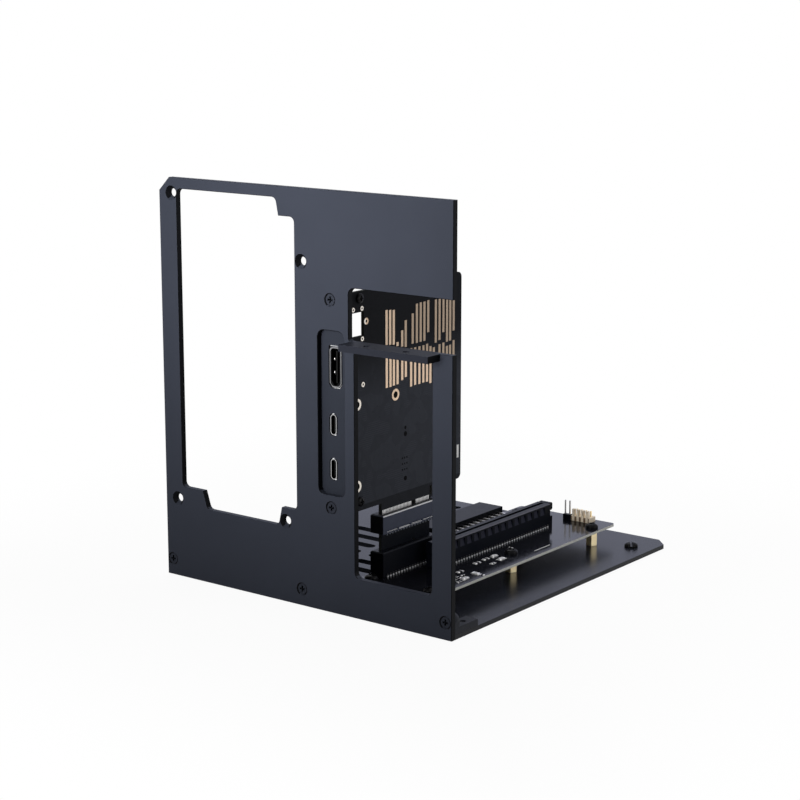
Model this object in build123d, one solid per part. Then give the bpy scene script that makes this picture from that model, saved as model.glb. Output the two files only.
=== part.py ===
from build123d import *
import os

# Sizes in millimetres. Places are counted from the front panel's left edge (x),
# from its front face towards the rear (y) and from its bottom edge (z).

# Power supply bay: the outline and holes of a standard supply standing on its side
supply_width = 86.0
supply_height = 150.0
supply_side_margin = 1.2
supply_top_margin = 0.8
supply_floor_height = 30.4
supply_rim_left = 9.2
supply_rim_right = 9.7
supply_rim_top = 4.0
supply_rim_bottom = 3.6
upper_step_height = 7.7
upper_step_width = 8.7
lower_step_height = 8.2
lower_left_step_width = 12.4
lower_right_step_width = 8.6
upper_step_slant = 1.5
lower_left_step_slant = 2.6
lower_right_step_slant = 1.9
opening_corner_radius = 2.5
supply_hole_inset = 6.0
supply_hole_span = 138.0
supply_lower_hole_pitch = 64.0
supply_side_hole_inset = 6.0
supply_side_hole_drop = 30.0
supply_hole_radius = 1.9
supply_countersink_radius = 3.2

# Bays to the right of the supply, and the front panel
panel_width = 160.0
card_bay_width = 24.8
panel_thickness = 2.6
panel_corner_cut = 6.0
panel_edge_break = 0.25
panel_height = supply_floor_height + supply_height + supply_top_margin

# Base plate and the angles that join it to the panel
base_thickness = 2.1
base_depth = 175.4
base_corner_cut = 6.0
base_hole_radius = 2.5
base_hole_x = 41.5
base_hole_rear_inset = 11.0
vent_width = 5.5
vent_length = 30.0
vent_pitch = 11.0
vent_rows = 6
vent_first_row = 52.0
vent_left_inset = 23.0
vent_column_gap = 6.0
angle_width = 6.5
angle_ear_thickness = 3.4
angle_foot_thickness = 2.9
angle_foot_length = 16.4
panel_screw_height = 7.4

# Fasteners
fit_clearance = 0.05
panel_screw_radius = 1.5
panel_countersink_radius = 2.95
panel_screw_recess = 0.3
panel_screw_length = 5.6
base_screw_radius = 1.25
base_screw_head_radius = 2.3
base_screw_length = 4.6
board_screw_radius = 1.45
board_screw_head_radius = 3.0
board_screw_head_height = 2.3
board_screw_grip = 3.4
card_screw_radius = 1.2
card_screw_head_radius = 2.2
card_screw_head_height = 1.3
rear_screw_radius = 1.9
rear_screw_head_radius = 3.2
rear_screw_head_height = 2.4
rear_screw_side_inset = 10.5
rear_screw_rear_inset = 18.5

# Main board
standoff_height = 7.2
standoff_across_flats = 5.0
standoff_stud_radius = 1.45
board_thickness = 1.2
board_front = 18.0
board_length = 146.2
board_right_reach = 25.7
board_left_reach = 5.4
board_wing_reach = 17.4
board_wing_start = 72.0
board_corner_radius = 2.0
board_hole_edge = 5.0
board_hole_front = 4.0
board_middle_hole_edge = 10.8
board_hole_middle = 73.7
board_hole_rear = 133.0
board_wing_hole = 6.5
card_hole_step = 52.0

# Edge slots: one long slot for a graphics card, two short ones for the controller card
slot_width = 7.2
slot_height = 11.25
slot_cavity_width = 1.9
slot_cavity_depth = 8.0
slot_end_wall = 1.3
short_slot_end_wall = 2.2
slot_top_bevel = 0.5
slot_key_width = 1.5
graphics_slot_front = 52.0
graphics_slot_length = 89.0
graphics_key_offset = 13.6
slot_tail_pitch = 2.0
slot_tail_width = 0.7
slot_tail_height = 1.3
slot_tail_reach = 0.45
slot_tail_end_margin = 2.5
pocket_pitch = 5.4
pocket_width = 3.5
pocket_height = 3.4
pocket_depth = 0.7
pocket_top_margin = 1.2
groove_pitch = 8.7
groove_length = 7.6
groove_height = 0.9
groove_depth = 0.5
groove_rise = 0.6

# Retention latch at the rear end of the graphics slot
latch_pivot_height = 2.5
latch_pin_radius = 0.7
latch_hub_radius = 1.1
latch_stem_width = 3.0
latch_stem_thickness = 1.3
latch_side_clearance = 0.2
latch_face_clearance = 0.3
latch_ear_thickness = 1.3
latch_ear_height = 4.6
latch_tab_height = 3.6
latch_tab_reach = 2.4

# Controller card, the riser under it and its bracket
card_offset = 11.1
card_thickness = 1.6
card_front_gap = 0.6
card_rear = 86.8
card_height = 95.0
card_corner_radius = 2.5
tab_front = 28.3
tab_length = 35.0
tab_bare_height = 4.8
tab_side_clearance = 0.2
tab_key_offset = 22.0
tab_key_width = 2.0
tab_key_rise = 1.7
hook_gap = 1.5
hook_width = 3.2
hook_drop = 4.5
hook_relief = 1.0
hook_toe_height = 1.5
hook_toe_clearance = 0.25
riser_bare_height = 8.15
card_slot_height = 8.4
card_slot_cavity_depth = 5.5
card_slot_tail_height = 0.55
finger_pitch = 1.0
finger_width = 0.65
finger_thickness = 0.06
finger_edge_margin = 0.6
card_screw_y = 13.5
card_screw_top_inset = 3.0
card_screw_bottom_inset = 4.1
bracket_thickness = 1.2
bracket_left_reach = 13.4
bracket_right_reach = 3.7
bracket_bottom_inset = 1.0
bracket_top_rise = 2.2
bracket_screw_offset = 4.15
bracket_screw_bottom = 3.3
bracket_screw_top = 92.5
bracket_tab_length = 14.0
bracket_tab_height = 8.0
bracket_tab_inset = 2.8

# Copper on the card's right face, drawn on a sheet of this depth and height that follows the
# card's own: bars as (depth, low end, high end), and plated rings as (depth, height, ring
# radius, hole radius)
copper_sheet_depth = 86.8
copper_sheet_height = 95.0
copper_thickness = 0.08
bar_width = 1.5
card_window_depths = (6.4, 16.6)
card_window_heights = (75.75, 86.05)
upper_bars = (
    (32.0, 69.5, 84.6), (34.5, 69.2, 84.3), (37.0, 68.9, 84.0), (39.7, 67.9, 69.6),
    (43.0, 67.2, 74.3), (45.5, 66.7, 78.4), (50.5, 67.4, 80.7), (53.5, 67.3, 84.6),
    (56.3, 67.4, 84.8), (59.0, 67.4, 84.8), (61.8, 70.9, 85.1), (67.4, 65.4, 84.7),
    (70.2, 66.2, 84.6), (73.1, 69.3, 84.7), (75.8, 64.6, 84.7), (78.2, 64.8, 84.7),
    (80.8, 69.0, 84.7),
)
lower_bars = (
    (32.1, 50.7, 67.6), (34.7, 50.7, 67.3), (37.1, 50.9, 67.0), (39.7, 51.1, 66.1),
    (43.0, 52.4, 65.4), (45.6, 53.4, 64.9), (49.4, 48.5, 65.5), (52.3, 48.8, 65.5),
    (55.4, 48.7, 65.5), (58.3, 48.9, 65.5), (61.0, 48.8, 65.8), (63.5, 47.8, 64.4),
    (66.0, 48.3, 63.5), (70.2, 48.4, 64.3), (73.1, 48.4, 64.6), (75.8, 48.6, 62.7),
    (78.2, 48.6, 62.9), (80.8, 48.6, 64.6),
)
plated_rings = (
    (9.4, 87.5, 1.0, 0.45), (15.2, 87.5, 1.0, 0.45), (18.1, 81.7, 1.45, 0.6),
    (15.4, 74.5, 1.0, 0.45), (15.8, 54.8, 1.1, 0.5), (38.3, 46.7, 2.6, 1.5),
    (11.8, 46.6, 2.6, 1.5), (11.7, 10.9, 2.6, 1.5),
)

# Ports on the card's left face, with heights over the card's lower edge
port_wall = 0.35
port_clearance = 0.4
video_port_offset = 3.4
video_port_height = 63.7
video_port_size = (5.1, 16.4)
video_port_corner_cut = (1.6, 2.0)
video_port_corner_radius = 0.5
video_port_depth = 16.0
video_rim_width = 0.6
video_rim_depth = 1.0
data_port_offset = 4.7
data_port_heights = {"upper": 38.95, "lower": 19.65}
data_port_size = (3.3, 9.0)
data_port_depth = 8.0
tongue_recess = 0.9
tongue_back = 2.0
tongue_thickness = 0.8
tongue_end_gap = 0.9
port_leg_length = 2.2

# Port window in the panel, around the ports
window_left_reach = 11.0
window_right_reach = 3.3
window_bottom_rise = 8.7
window_height = 70.9
window_corner_radius = 3.3

# Graphics card opening and the ledge that a card's bracket is screwed to
opening_left_offset = 2.5
opening_right_bar = 10.15
opening_bottom_rise = 7.0
opening_bottom_radius = 3.0
notch_left_offset = 5.4
notch_height = 22.3
notch_radius = 3.0
notch_floor_radius = 1.6
ledge_rise = 108.75
ledge_thickness = 2.9
ledge_reach = 8.2
ledge_left_overlap = 1.7
ledge_right_overlap = 3.75
ledge_side_clearance = 0.15
ledge_hole_radius = 1.45
ledge_hole_pitch = 20.32
ledge_hole_inset = 4.2

# Heat sink on the controller chip
chip_size = 11.0
chip_thickness = 1.4
chip_y = 49.0
chip_rise = 25.0
sink_length = 46.0
sink_height = 36.0
sink_base_thickness = 2.3
sink_fin_height = 7.0
sink_fin_thickness = 1.0
sink_fins = 10

# Connectors on the main board
power_pitch = 4.2
power_ways = 12
power_rows = 2
power_end_wall = 0.6
power_height = 9.8
power_depth = 13.4
power_left_reach = 16.7
power_front = 75.5
power_socket = 3.3
power_socket_depth = 9.0
power_lead = 1.0
power_lead_recess = 2.5
power_row_first = 2.8
power_lead_reach = 2.9
power_lead_step = 1.6
fan_pitch = 2.54
fan_ways = 4
fan_offset = 5.7
fan_rear_inset = 8.2
fan_depth = 6.0
fan_floor_height = 2.4
fan_post_depth = 1.6
fan_post_width = 1.4
fan_post_height = 5.8
fan_pin = 0.64
fan_pin_inset = 3.8
fan_pin_height = 5.2
header_pitch = 2.54
header_ways = 2
header_offset = 3.25
header_rear_inset = 7.2
header_side_margin = 0.85
header_depth = 2.2
header_base_height = 2.6
header_pin = 0.64
header_pin_height = 9.4

# Derived places
supply_left = supply_side_margin
supply_top = supply_floor_height + supply_height
graphics_x = supply_left + supply_width + card_bay_width
card_x = graphics_x - card_offset
panel_back = panel_thickness
base_rear = panel_back + base_depth
board_under = base_thickness + standoff_height
board_top = board_under + board_thickness
riser_slot_top = board_top + slot_height
riser_bottom = riser_slot_top - slot_cavity_depth
card_slot_bottom = riser_slot_top + riser_bare_height
card_slot_top = card_slot_bottom + card_slot_height
tab_bottom = card_slot_top - card_slot_cavity_depth
card_bottom = card_slot_top + tab_bare_height
card_top = card_bottom + card_height
card_left = card_x - card_thickness / 2
card_right = card_x + card_thickness / 2
tab_rear = tab_front + tab_length
short_slot_front = tab_front - tab_side_clearance - short_slot_end_wall
short_slot_length = tab_length + 2 * (tab_side_clearance + short_slot_end_wall)
tab_key = tab_front + tab_key_offset
ledge_top = board_top + ledge_rise
notch_top = ledge_top + notch_height
opening_left = graphics_x - opening_left_offset
opening_right = panel_width - opening_right_bar
notch_left = graphics_x - notch_left_offset
bracket_back = panel_back + bracket_thickness
card_front = bracket_back + card_front_gap
bracket_screw_x = card_x - bracket_screw_offset
board_rear = board_front + board_length
board_right = graphics_x + board_right_reach
board_left = card_x - board_left_reach
board_wing = card_x - board_wing_reach
fan_front = board_rear - fan_rear_inset
header_y = board_rear - header_rear_inset
panel_screw_head_radius = panel_countersink_radius - panel_screw_recess - fit_clearance
frame_shift = Pos(-panel_width / 2, -(base_rear - ledge_reach) / 2, 0)


def span(x, y, z):
    """A box between a low and a high limit on each axis."""
    limits = (x, y, z)
    size = [high - low for low, high in limits]
    centre = [(low + high) / 2 for low, high in limits]
    return Pos(*centre) * Box(*size)


def rod_x(y, z, x, radius):
    """A round bar along x between the two limits in x."""
    return Pos((x[0] + x[1]) / 2, y, z) * Rot(0, 90, 0) * Cylinder(radius, x[1] - x[0])


def rod_y(x, z, y, radius):
    """A round bar along y between the two limits in y."""
    return Pos(x, (y[0] + y[1]) / 2, z) * Rot(-90, 0, 0) * Cylinder(radius, y[1] - y[0])


def rod_z(x, y, z, radius):
    """A round bar along z between the two limits in z."""
    return Pos(x, y, (z[0] + z[1]) / 2) * Cylinder(radius, z[1] - z[0])


def sink_y(x, z, y, head_radius, shank_radius):
    """A countersink cone with its mouth at y, narrowing to the rear."""
    depth = head_radius - shank_radius
    cone = Cone(head_radius, shank_radius, depth)
    return Pos(x, y + depth / 2, z) * Rot(-90, 0, 0) * cone


def sink_z(x, y, z, head_radius, shank_radius):
    """A countersink cone with its mouth at z, narrowing upwards."""
    depth = head_radius - shank_radius
    return Pos(x, y, z + depth / 2) * Cone(head_radius, shank_radius, depth)


def upright(outline, y, thickness):
    """An outline drawn in x and z, made solid from y towards the rear."""
    return extrude(Plane.XZ.offset(-y) * outline, amount=-thickness)


def level(outline, z, thickness):
    """An outline drawn in x and y, made solid from z upwards."""
    return extrude(Pos(0, 0, z) * outline, amount=thickness)


def rounded(outline, radius, corners):
    """An outline with the corners nearest the given points rounded."""
    picked = []
    for u, v in corners:
        picked.append(min(outline.vertices(), key=lambda p: (p.X - u) ** 2 + (p.Y - v) ** 2))
    return fillet(picked, radius)


def joined(pieces):
    """Separate solids gathered in one node."""
    return Compound([solid for piece in pieces for solid in piece.solids()])


def supply_opening():
    """The stepped opening that shows the supply's rear face."""
    left = supply_left + supply_rim_left
    right = supply_left + supply_width - supply_rim_right
    bottom = supply_floor_height + supply_rim_bottom
    top = supply_top - supply_rim_top
    low_step = bottom + lower_step_height
    high_step = top - upper_step_height
    low_left = left + lower_left_step_width
    low_right = right - lower_right_step_width
    high_right = right - upper_step_width
    corners = (
        (left, low_step), (low_left, low_step), (low_left + lower_left_step_slant, bottom),
        (low_right - lower_right_step_slant, bottom), (low_right, low_step), (right, low_step),
        (right, high_step), (high_right, high_step), (high_right - upper_step_slant, top), (left, top),
    )
    outline = Polygon(*corners, align=None)
    inner_corners = corners[:1] + corners[2:4] + corners[5:7] + corners[8:]
    return rounded(outline, opening_corner_radius, inner_corners)


def graphics_opening():
    """The card opening with its notch, which is open at the panel's right edge."""
    bottom = board_top + opening_bottom_rise
    outside = panel_width + panel_thickness
    corners = (
        (opening_left, bottom), (opening_right, bottom), (opening_right, ledge_top),
        (outside, ledge_top), (outside, notch_top), (notch_left, notch_top),
        (notch_left, ledge_top), (opening_left, ledge_top),
    )
    outline = Polygon(*corners, align=None)
    outline = rounded(outline, opening_bottom_radius, corners[0:2])
    outline = rounded(outline, notch_radius, corners[5:6])
    return rounded(outline, notch_floor_radius, corners[6:7])


def port_window():
    """The window in the panel that the ports are reached through."""
    left = card_x - window_left_reach
    width = window_left_reach + window_right_reach
    bottom = card_bottom + window_bottom_rise
    outline = RectangleRounded(width, window_height, window_corner_radius)
    return Pos(left + width / 2, bottom + window_height / 2) * outline


supply_holes = (
    (supply_left + supply_hole_inset, supply_top - supply_hole_inset),
    (supply_left + supply_hole_inset, supply_top - supply_hole_inset - supply_hole_span),
    (supply_left + supply_hole_inset + supply_lower_hole_pitch, supply_top - supply_hole_inset - supply_hole_span),
    (supply_left + supply_width - supply_side_hole_inset, supply_top - supply_side_hole_drop),
)
angle_centres = {
    "left": angle_width / 2,
    "middle": panel_width / 2,
    "right": panel_width - angle_width / 2,
}
panel_screw_places = [(x, panel_screw_height) for x in angle_centres.values()]
bracket_screw_places = [
    (bracket_screw_x, card_bottom + bracket_screw_bottom),
    (bracket_screw_x, card_bottom + bracket_screw_top),
]


def front_panel():
    """The upright plate with its openings, edge break and countersunk holes."""
    corners = (
        (0, 0), (panel_width, 0), (panel_width, panel_height),
        (panel_corner_cut, panel_height), (0, panel_height - panel_corner_cut),
    )
    outline = Polygon(*corners, align=None)
    outline = outline - supply_opening() - graphics_opening() - port_window()
    plate = upright(outline, 0, panel_thickness)
    front = plate.faces().sort_by(Axis.Y)[0]
    plate = chamfer(front.edges(), panel_edge_break)
    for x, z in supply_holes:
        plate = plate - rod_y(x, z, (0, panel_thickness), supply_hole_radius)
        plate = plate - sink_y(x, z, 0, supply_countersink_radius, supply_hole_radius)
    hole = panel_screw_radius + fit_clearance
    for x, z in panel_screw_places + bracket_screw_places:
        plate = plate - rod_y(x, z, (0, panel_thickness), hole)
        plate = plate - sink_y(x, z, 0, panel_countersink_radius, hole)
    return plate


def panel_screws():
    """The countersunk screws along the bottom and those of the card bracket."""
    screws = []
    lengths = [panel_screw_length] * len(panel_screw_places)
    lengths += [bracket_back] * len(bracket_screw_places)
    places = panel_screw_places + bracket_screw_places
    for (x, z), length in zip(places, lengths):
        head = sink_y(x, z, panel_screw_recess, panel_screw_head_radius, panel_screw_radius)
        screws.append(head + rod_y(x, z, (panel_screw_recess, length), panel_screw_radius))
    return joined(screws)


def bracket_ledge():
    """The bar across the card opening, with a tongue between the opening's sides."""
    z = (ledge_top - ledge_thickness, ledge_top)
    bar = span((opening_left - ledge_left_overlap, opening_right + ledge_right_overlap), (-ledge_reach, 0), z)
    tongue_x = (opening_left + ledge_side_clearance, opening_right - ledge_side_clearance)
    bar = bar + span(tongue_x, (0, panel_thickness), z)
    holes = int((opening_right - opening_left) // ledge_hole_pitch) + 1
    first = (opening_left + opening_right) / 2 - (holes - 1) * ledge_hole_pitch / 2
    for step in range(holes):
        x = first + step * ledge_hole_pitch
        bar = bar - rod_z(x, -ledge_hole_inset, z, ledge_hole_radius)
    return bar


def angle_bracket(centre):
    """An angle with a round-topped ear behind the panel and a foot on the base."""
    x = (centre - angle_width / 2, centre + angle_width / 2)
    foot_top = base_thickness + angle_foot_thickness
    ear_y = (panel_back, panel_back + angle_ear_thickness)
    angle = span(x, (panel_back, panel_back + angle_foot_length), (base_thickness, foot_top))
    angle = angle + span(x, ear_y, (base_thickness, panel_screw_height))
    angle = angle + rod_y(centre, panel_screw_height, ear_y, angle_width / 2)
    angle = angle - rod_y(centre, panel_screw_height, ear_y, panel_screw_radius + fit_clearance)
    hole_z = (base_thickness, foot_top)
    return angle - rod_z(centre, angle_screw_y(), hole_z, base_screw_radius + fit_clearance)


def angle_screw_y():
    """Where the base screws stand, midway along the bare part of the foot."""
    return panel_back + (angle_foot_length + angle_ear_thickness) / 2


def base_screws():
    """The countersunk screws from below into the angles' feet."""
    screws = []
    for centre in angle_centres.values():
        head = sink_z(centre, angle_screw_y(), 0, base_screw_head_radius, base_screw_radius)
        shank = rod_z(centre, angle_screw_y(), (0, base_screw_length), base_screw_radius)
        screws.append(head + shank)
    return joined(screws)


rear_screw_places = [
    (rear_screw_side_inset, base_rear - rear_screw_rear_inset),
    (panel_width - rear_screw_side_inset, base_rear - rear_screw_rear_inset),
]
standoff_places = [
    (board_right - board_hole_edge, board_front + board_hole_front),
    (board_right - board_middle_hole_edge, board_front + board_hole_middle),
    (board_right - board_hole_edge, board_front + board_hole_rear),
    (card_x, board_front + board_hole_front),
    (card_x, board_front + card_hole_step),
    (board_wing + board_wing_hole, board_front + board_hole_rear),
]


def base_plate():
    """The floor plate with vent slots and cut rear corners."""
    corners = (
        (0, panel_back), (panel_width, panel_back), (panel_width, base_rear - base_corner_cut),
        (panel_width - base_corner_cut, base_rear), (base_corner_cut, base_rear),
        (0, base_rear - base_corner_cut),
    )
    outline = Polygon(*corners, align=None)
    for column in range(2):
        x = vent_left_inset + column * (vent_length + vent_column_gap) + vent_length / 2
        for row in range(vent_rows):
            y = vent_first_row + row * vent_pitch
            outline = outline - Pos(x, y) * SlotOverall(vent_length, vent_width)
    outline = outline - Pos(base_hole_x, base_rear - base_hole_rear_inset) * Circle(base_hole_radius)
    for x, y in rear_screw_places:
        outline = outline - Pos(x, y) * Circle(rear_screw_radius + fit_clearance)
    for x, y in standoff_places:
        outline = outline - Pos(x, y) * Circle(standoff_stud_radius + fit_clearance)
    plate = level(outline, 0, base_thickness)
    hole = base_screw_radius + fit_clearance
    for centre in angle_centres.values():
        plate = plate - rod_z(centre, angle_screw_y(), (0, base_thickness), hole)
        plate = plate - sink_z(centre, angle_screw_y(), 0, base_screw_head_radius + fit_clearance, hole)
    return plate


def rear_screws():
    """The round-headed screws near the base plate's rear corners."""
    screws = []
    for x, y in rear_screw_places:
        top = base_thickness + rear_screw_head_height
        head = rod_z(x, y, (base_thickness, top), rear_screw_head_radius)
        head = chamfer(head.edges().filter_by(GeomType.CIRCLE).sort_by(Axis.Z)[-1], rear_screw_head_height / 3)
        screws.append(head + rod_z(x, y, (0, base_thickness), rear_screw_radius))
    return joined(screws)


def board_standoffs():
    """Hexagonal posts under the main board, with studs through the base plate."""
    posts = []
    for x, y in standoff_places:
        hexagon = Pos(x, y) * RegularPolygon(standoff_across_flats / 2, 6, major_radius=False)
        post = level(hexagon, base_thickness, standoff_height)
        post = post - rod_z(x, y, (board_top - board_screw_grip, board_under), board_screw_radius + fit_clearance)
        posts.append(post + rod_z(x, y, (0, base_thickness), standoff_stud_radius))
    return joined(posts)


def board_screws():
    """The pan-head screws through the main board into the posts."""
    screws = []
    for x, y in standoff_places:
        top = board_top + board_screw_head_height
        head = rod_z(x, y, (board_top, top), board_screw_head_radius)
        head = chamfer(head.edges().filter_by(GeomType.CIRCLE).sort_by(Axis.Z)[-1], board_screw_head_height / 3)
        screws.append(head + rod_z(x, y, (board_top - board_screw_grip, board_top), board_screw_radius))
    return joined(screws)


def main_board():
    """The level circuit board, with a wing on the left for the power header."""
    corners = (
        (board_left, board_front), (board_right, board_front), (board_right, board_rear),
        (board_wing, board_rear), (board_wing, board_wing_start), (board_left, board_wing_start),
    )
    outline = Polygon(*corners, align=None)
    outline = rounded(outline, board_corner_radius, corners)
    for x, y in standoff_places:
        outline = outline - Pos(x, y) * Circle(board_screw_radius + fit_clearance)
    return level(outline, board_under, board_thickness)


def edge_slot(x, y, z, depth, key, end_wall):
    """A slot housing between limits in y and z, with a keyed cavity open at the top."""
    sides = (x - slot_width / 2, x + slot_width / 2)
    body = span(sides, y, z)
    top_edges = body.faces().sort_by(Axis.Z)[-1].edges()
    body = chamfer(top_edges, slot_top_bevel)
    half = slot_cavity_width / 2
    key_y = (key - slot_key_width / 2, key + slot_key_width / 2)
    inner = (y[0] + end_wall, y[1] - end_wall)
    body = body - span((x - half, x + half), (inner[0], key_y[0]), (z[1] - depth, z[1]))
    return body - span((x - half, x + half), (key_y[1], inner[1]), (z[1] - depth, z[1]))


def graphics_slot_housing():
    """The long slot housing with side pockets and the latch's pivot ears."""
    y = (graphics_slot_front, graphics_slot_front + graphics_slot_length)
    z = (board_top, board_top + slot_height)
    key = graphics_slot_front + graphics_key_offset
    body = edge_slot(graphics_x, y, z, slot_cavity_depth, key, slot_end_wall)
    pockets = int((graphics_slot_length - pocket_pitch) // pocket_pitch)
    first = (y[0] + y[1]) / 2 - (pockets - 1) * pocket_pitch / 2
    pocket_top = z[1] - pocket_top_margin
    for side in (-1, 1):
        face = graphics_x + side * slot_width / 2
        ramp = ((face, pocket_top), (face - side * pocket_depth, pocket_top), (face, pocket_top - pocket_height))
        for step in range(pockets):
            start = first + step * pocket_pitch - pocket_width / 2
            body = body - upright(Polygon(*ramp, align=None), start, pocket_width)
    pivot_y, pivot_z = latch_pivot()
    inner = latch_stem_width / 2 + latch_side_clearance
    for side in (-1, 1):
        ear_x = sorted((graphics_x + side * inner, graphics_x + side * (inner + latch_ear_thickness)))
        ear = span(ear_x, (y[1], y[1] + latch_face_clearance + latch_tab_reach), (z[0], z[0] + latch_ear_height))
        body = body + ear - rod_x(pivot_y, pivot_z, ear_x, latch_pin_radius + fit_clearance)
    return body


def card_slot_housing():
    """The short slot on the riser, with a row of grooves along the foot of each side."""
    z = (card_slot_bottom, card_slot_top)
    body = edge_slot(card_x, short_slot_y, z, card_slot_cavity_depth, short_key, short_slot_end_wall)
    grooves = int(short_slot_length // groove_pitch)
    first = (short_slot_y[0] + short_slot_y[1] - (grooves - 1) * groove_pitch) / 2
    groove_z = (card_slot_bottom + groove_rise, card_slot_bottom + groove_rise + groove_height)
    for step in range(grooves):
        middle = first + step * groove_pitch
        groove_y = (middle - groove_length / 2, middle + groove_length / 2)
        for side in (-1, 1):
            face = card_x + side * slot_width / 2
            groove_x = sorted((face, face - side * groove_depth))
            body = body - span(groove_x, groove_y, groove_z)
    return body


def latch_pivot():
    """The latch's pivot, as y and z."""
    rear = graphics_slot_front + graphics_slot_length
    return rear + latch_face_clearance + latch_hub_radius, board_top + latch_pivot_height


def graphics_slot_latch():
    """The lever that locks a card: hub with stub pins, stem and thumb tab."""
    pivot_y, pivot_z = latch_pivot()
    front = pivot_y - latch_hub_radius
    top = board_top + slot_height
    half = latch_stem_width / 2
    reach = half + latch_side_clearance + latch_ear_thickness
    lever = rod_x(pivot_y, pivot_z, (graphics_x - half, graphics_x + half), latch_hub_radius)
    stem_y = (front, front + latch_stem_thickness)
    lever = lever + span((graphics_x - half, graphics_x + half), stem_y, (pivot_z, top))
    tab_x = (graphics_x - reach, graphics_x + reach)
    tab = span(tab_x, (front, front + latch_tab_reach), (top - latch_tab_height, top))
    tab = chamfer(tab.edges().filter_by(Axis.X).group_by(Axis.Y)[-1], latch_tab_reach / 4)
    lever = lever + tab
    return lever + rod_x(pivot_y, pivot_z, tab_x, latch_pin_radius)


def slot_tails(x, y, z):
    """Rows of contact tails beside a slot that stands on the main board."""
    usable = y[1] - y[0] - 2 * slot_tail_end_margin
    count = int(usable // slot_tail_pitch) + 1
    first = (y[0] + y[1]) / 2 - (count - 1) * slot_tail_pitch / 2
    tails = []
    for side in (-1, 1):
        face = x + side * slot_width / 2
        tail_x = sorted((face, face + side * slot_tail_reach))
        for step in range(count):
            middle = first + step * slot_tail_pitch
            tail_y = (middle - slot_tail_width / 2, middle + slot_tail_width / 2)
            tails.append(span(tail_x, tail_y, (z, z + slot_tail_height)))
    return joined(tails)


def card_slot_tails(y):
    """Tails that run from the card slot's underside edges to the riser's faces."""
    usable = y[1] - y[0] - 2 * slot_tail_end_margin
    count = int(usable // slot_tail_pitch) + 1
    first = (y[0] + y[1]) / 2 - (count - 1) * slot_tail_pitch / 2
    tails = []
    for side in (-1, 1):
        tail_x = sorted((card_x + side * card_thickness / 2, card_x + side * slot_width / 2))
        for step in range(count):
            middle = first + step * slot_tail_pitch
            tail_y = (middle - slot_tail_width / 2, middle + slot_tail_width / 2)
            tails.append(span(tail_x, tail_y, (card_slot_bottom - card_slot_tail_height, card_slot_bottom)))
    return joined(tails)


short_slot_y = (short_slot_front, short_slot_front + short_slot_length)
key_y = (tab_key, tab_key + tab_key_width)
short_key = tab_key + tab_key_width / 2


def riser_board():
    """The small upright board between the two short slots."""
    x = (card_left, card_right)
    board = span(x, (tab_front, tab_rear), (riser_bottom, card_slot_bottom))
    return board - span(x, key_y, (riser_bottom, riser_slot_top + tab_key_rise / 2))


def on_card(depth, height):
    """Place on the card of a point on the copper's sheet."""
    y = card_rear * depth / copper_sheet_depth
    return (y, card_bottom + card_height * height / copper_sheet_height)


def controller_board():
    """The upright card with its edge tab, hook, window and holes."""
    x = (card_left, card_right)
    corners = (
        (card_front, card_bottom), (card_rear, card_bottom),
        (card_rear, card_top), (card_front, card_top),
    )
    outline = Polygon(*corners, align=None)
    outline = rounded(outline, card_corner_radius, corners[1:3])
    tab_height = card_bottom - tab_bottom
    tab = Pos((tab_front + tab_rear) / 2, tab_bottom + tab_height / 2) * Rectangle(tab_length, tab_height)
    outline = outline + tab
    hook_front = tab_rear + hook_gap
    hook = Pos(hook_front + hook_width / 2, card_bottom - hook_drop / 2) * Rectangle(hook_width, hook_drop)
    toe_length = hook_gap - hook_toe_clearance
    toe = Rectangle(toe_length, hook_toe_height)
    toe = Pos(hook_front - toe_length / 2, card_bottom - hook_drop + hook_toe_height / 2) * toe
    outline = outline + hook + toe
    relief = Pos(tab_rear + hook_gap / 2, card_bottom + hook_relief / 2) * Rectangle(hook_gap, hook_relief)
    outline = outline - relief
    key_height = card_slot_top + tab_key_rise - tab_bottom
    key = Rectangle(tab_key_width, key_height)
    outline = outline - Pos(tab_key + tab_key_width / 2, tab_bottom + key_height / 2) * key
    low, high = [on_card(*corner) for corner in zip(card_window_depths, card_window_heights)]
    window = Rectangle(high[0] - low[0], high[1] - low[1])
    outline = outline - Pos((low[0] + high[0]) / 2, (low[1] + high[1]) / 2) * window
    for depth, height, ring, hole in plated_rings:
        outline = outline - Pos(*on_card(depth, height)) * Circle(hole)
    for z in card_screw_heights():
        outline = outline - Pos(card_screw_y, z) * Circle(card_screw_radius + fit_clearance)
    return extrude(Plane.YZ.offset(card_left) * outline, amount=card_thickness)


def card_screw_heights():
    """Heights of the two screws that hold the card to its bracket."""
    return (card_bottom + card_screw_bottom_inset, card_top - card_screw_top_inset)


def card_fingers():
    """Gold contact strips on both faces of the card's edge tab."""
    fingers = []
    z = (tab_bottom + finger_edge_margin, card_slot_top + tab_key_rise)
    fields = ((tab_front, tab_key), (tab_key + tab_key_width, tab_rear))
    for low, high in fields:
        count = int((high - low - finger_pitch / 2) // finger_pitch)
        first = (low + high) / 2 - (count - 1) * finger_pitch / 2
        for step in range(count):
            middle = first + step * finger_pitch
            y = (middle - finger_width / 2, middle + finger_width / 2)
            fingers.append(span((card_right, card_right + finger_thickness), y, z))
            fingers.append(span((card_left - finger_thickness, card_left), y, z))
    return joined(fingers)


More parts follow.
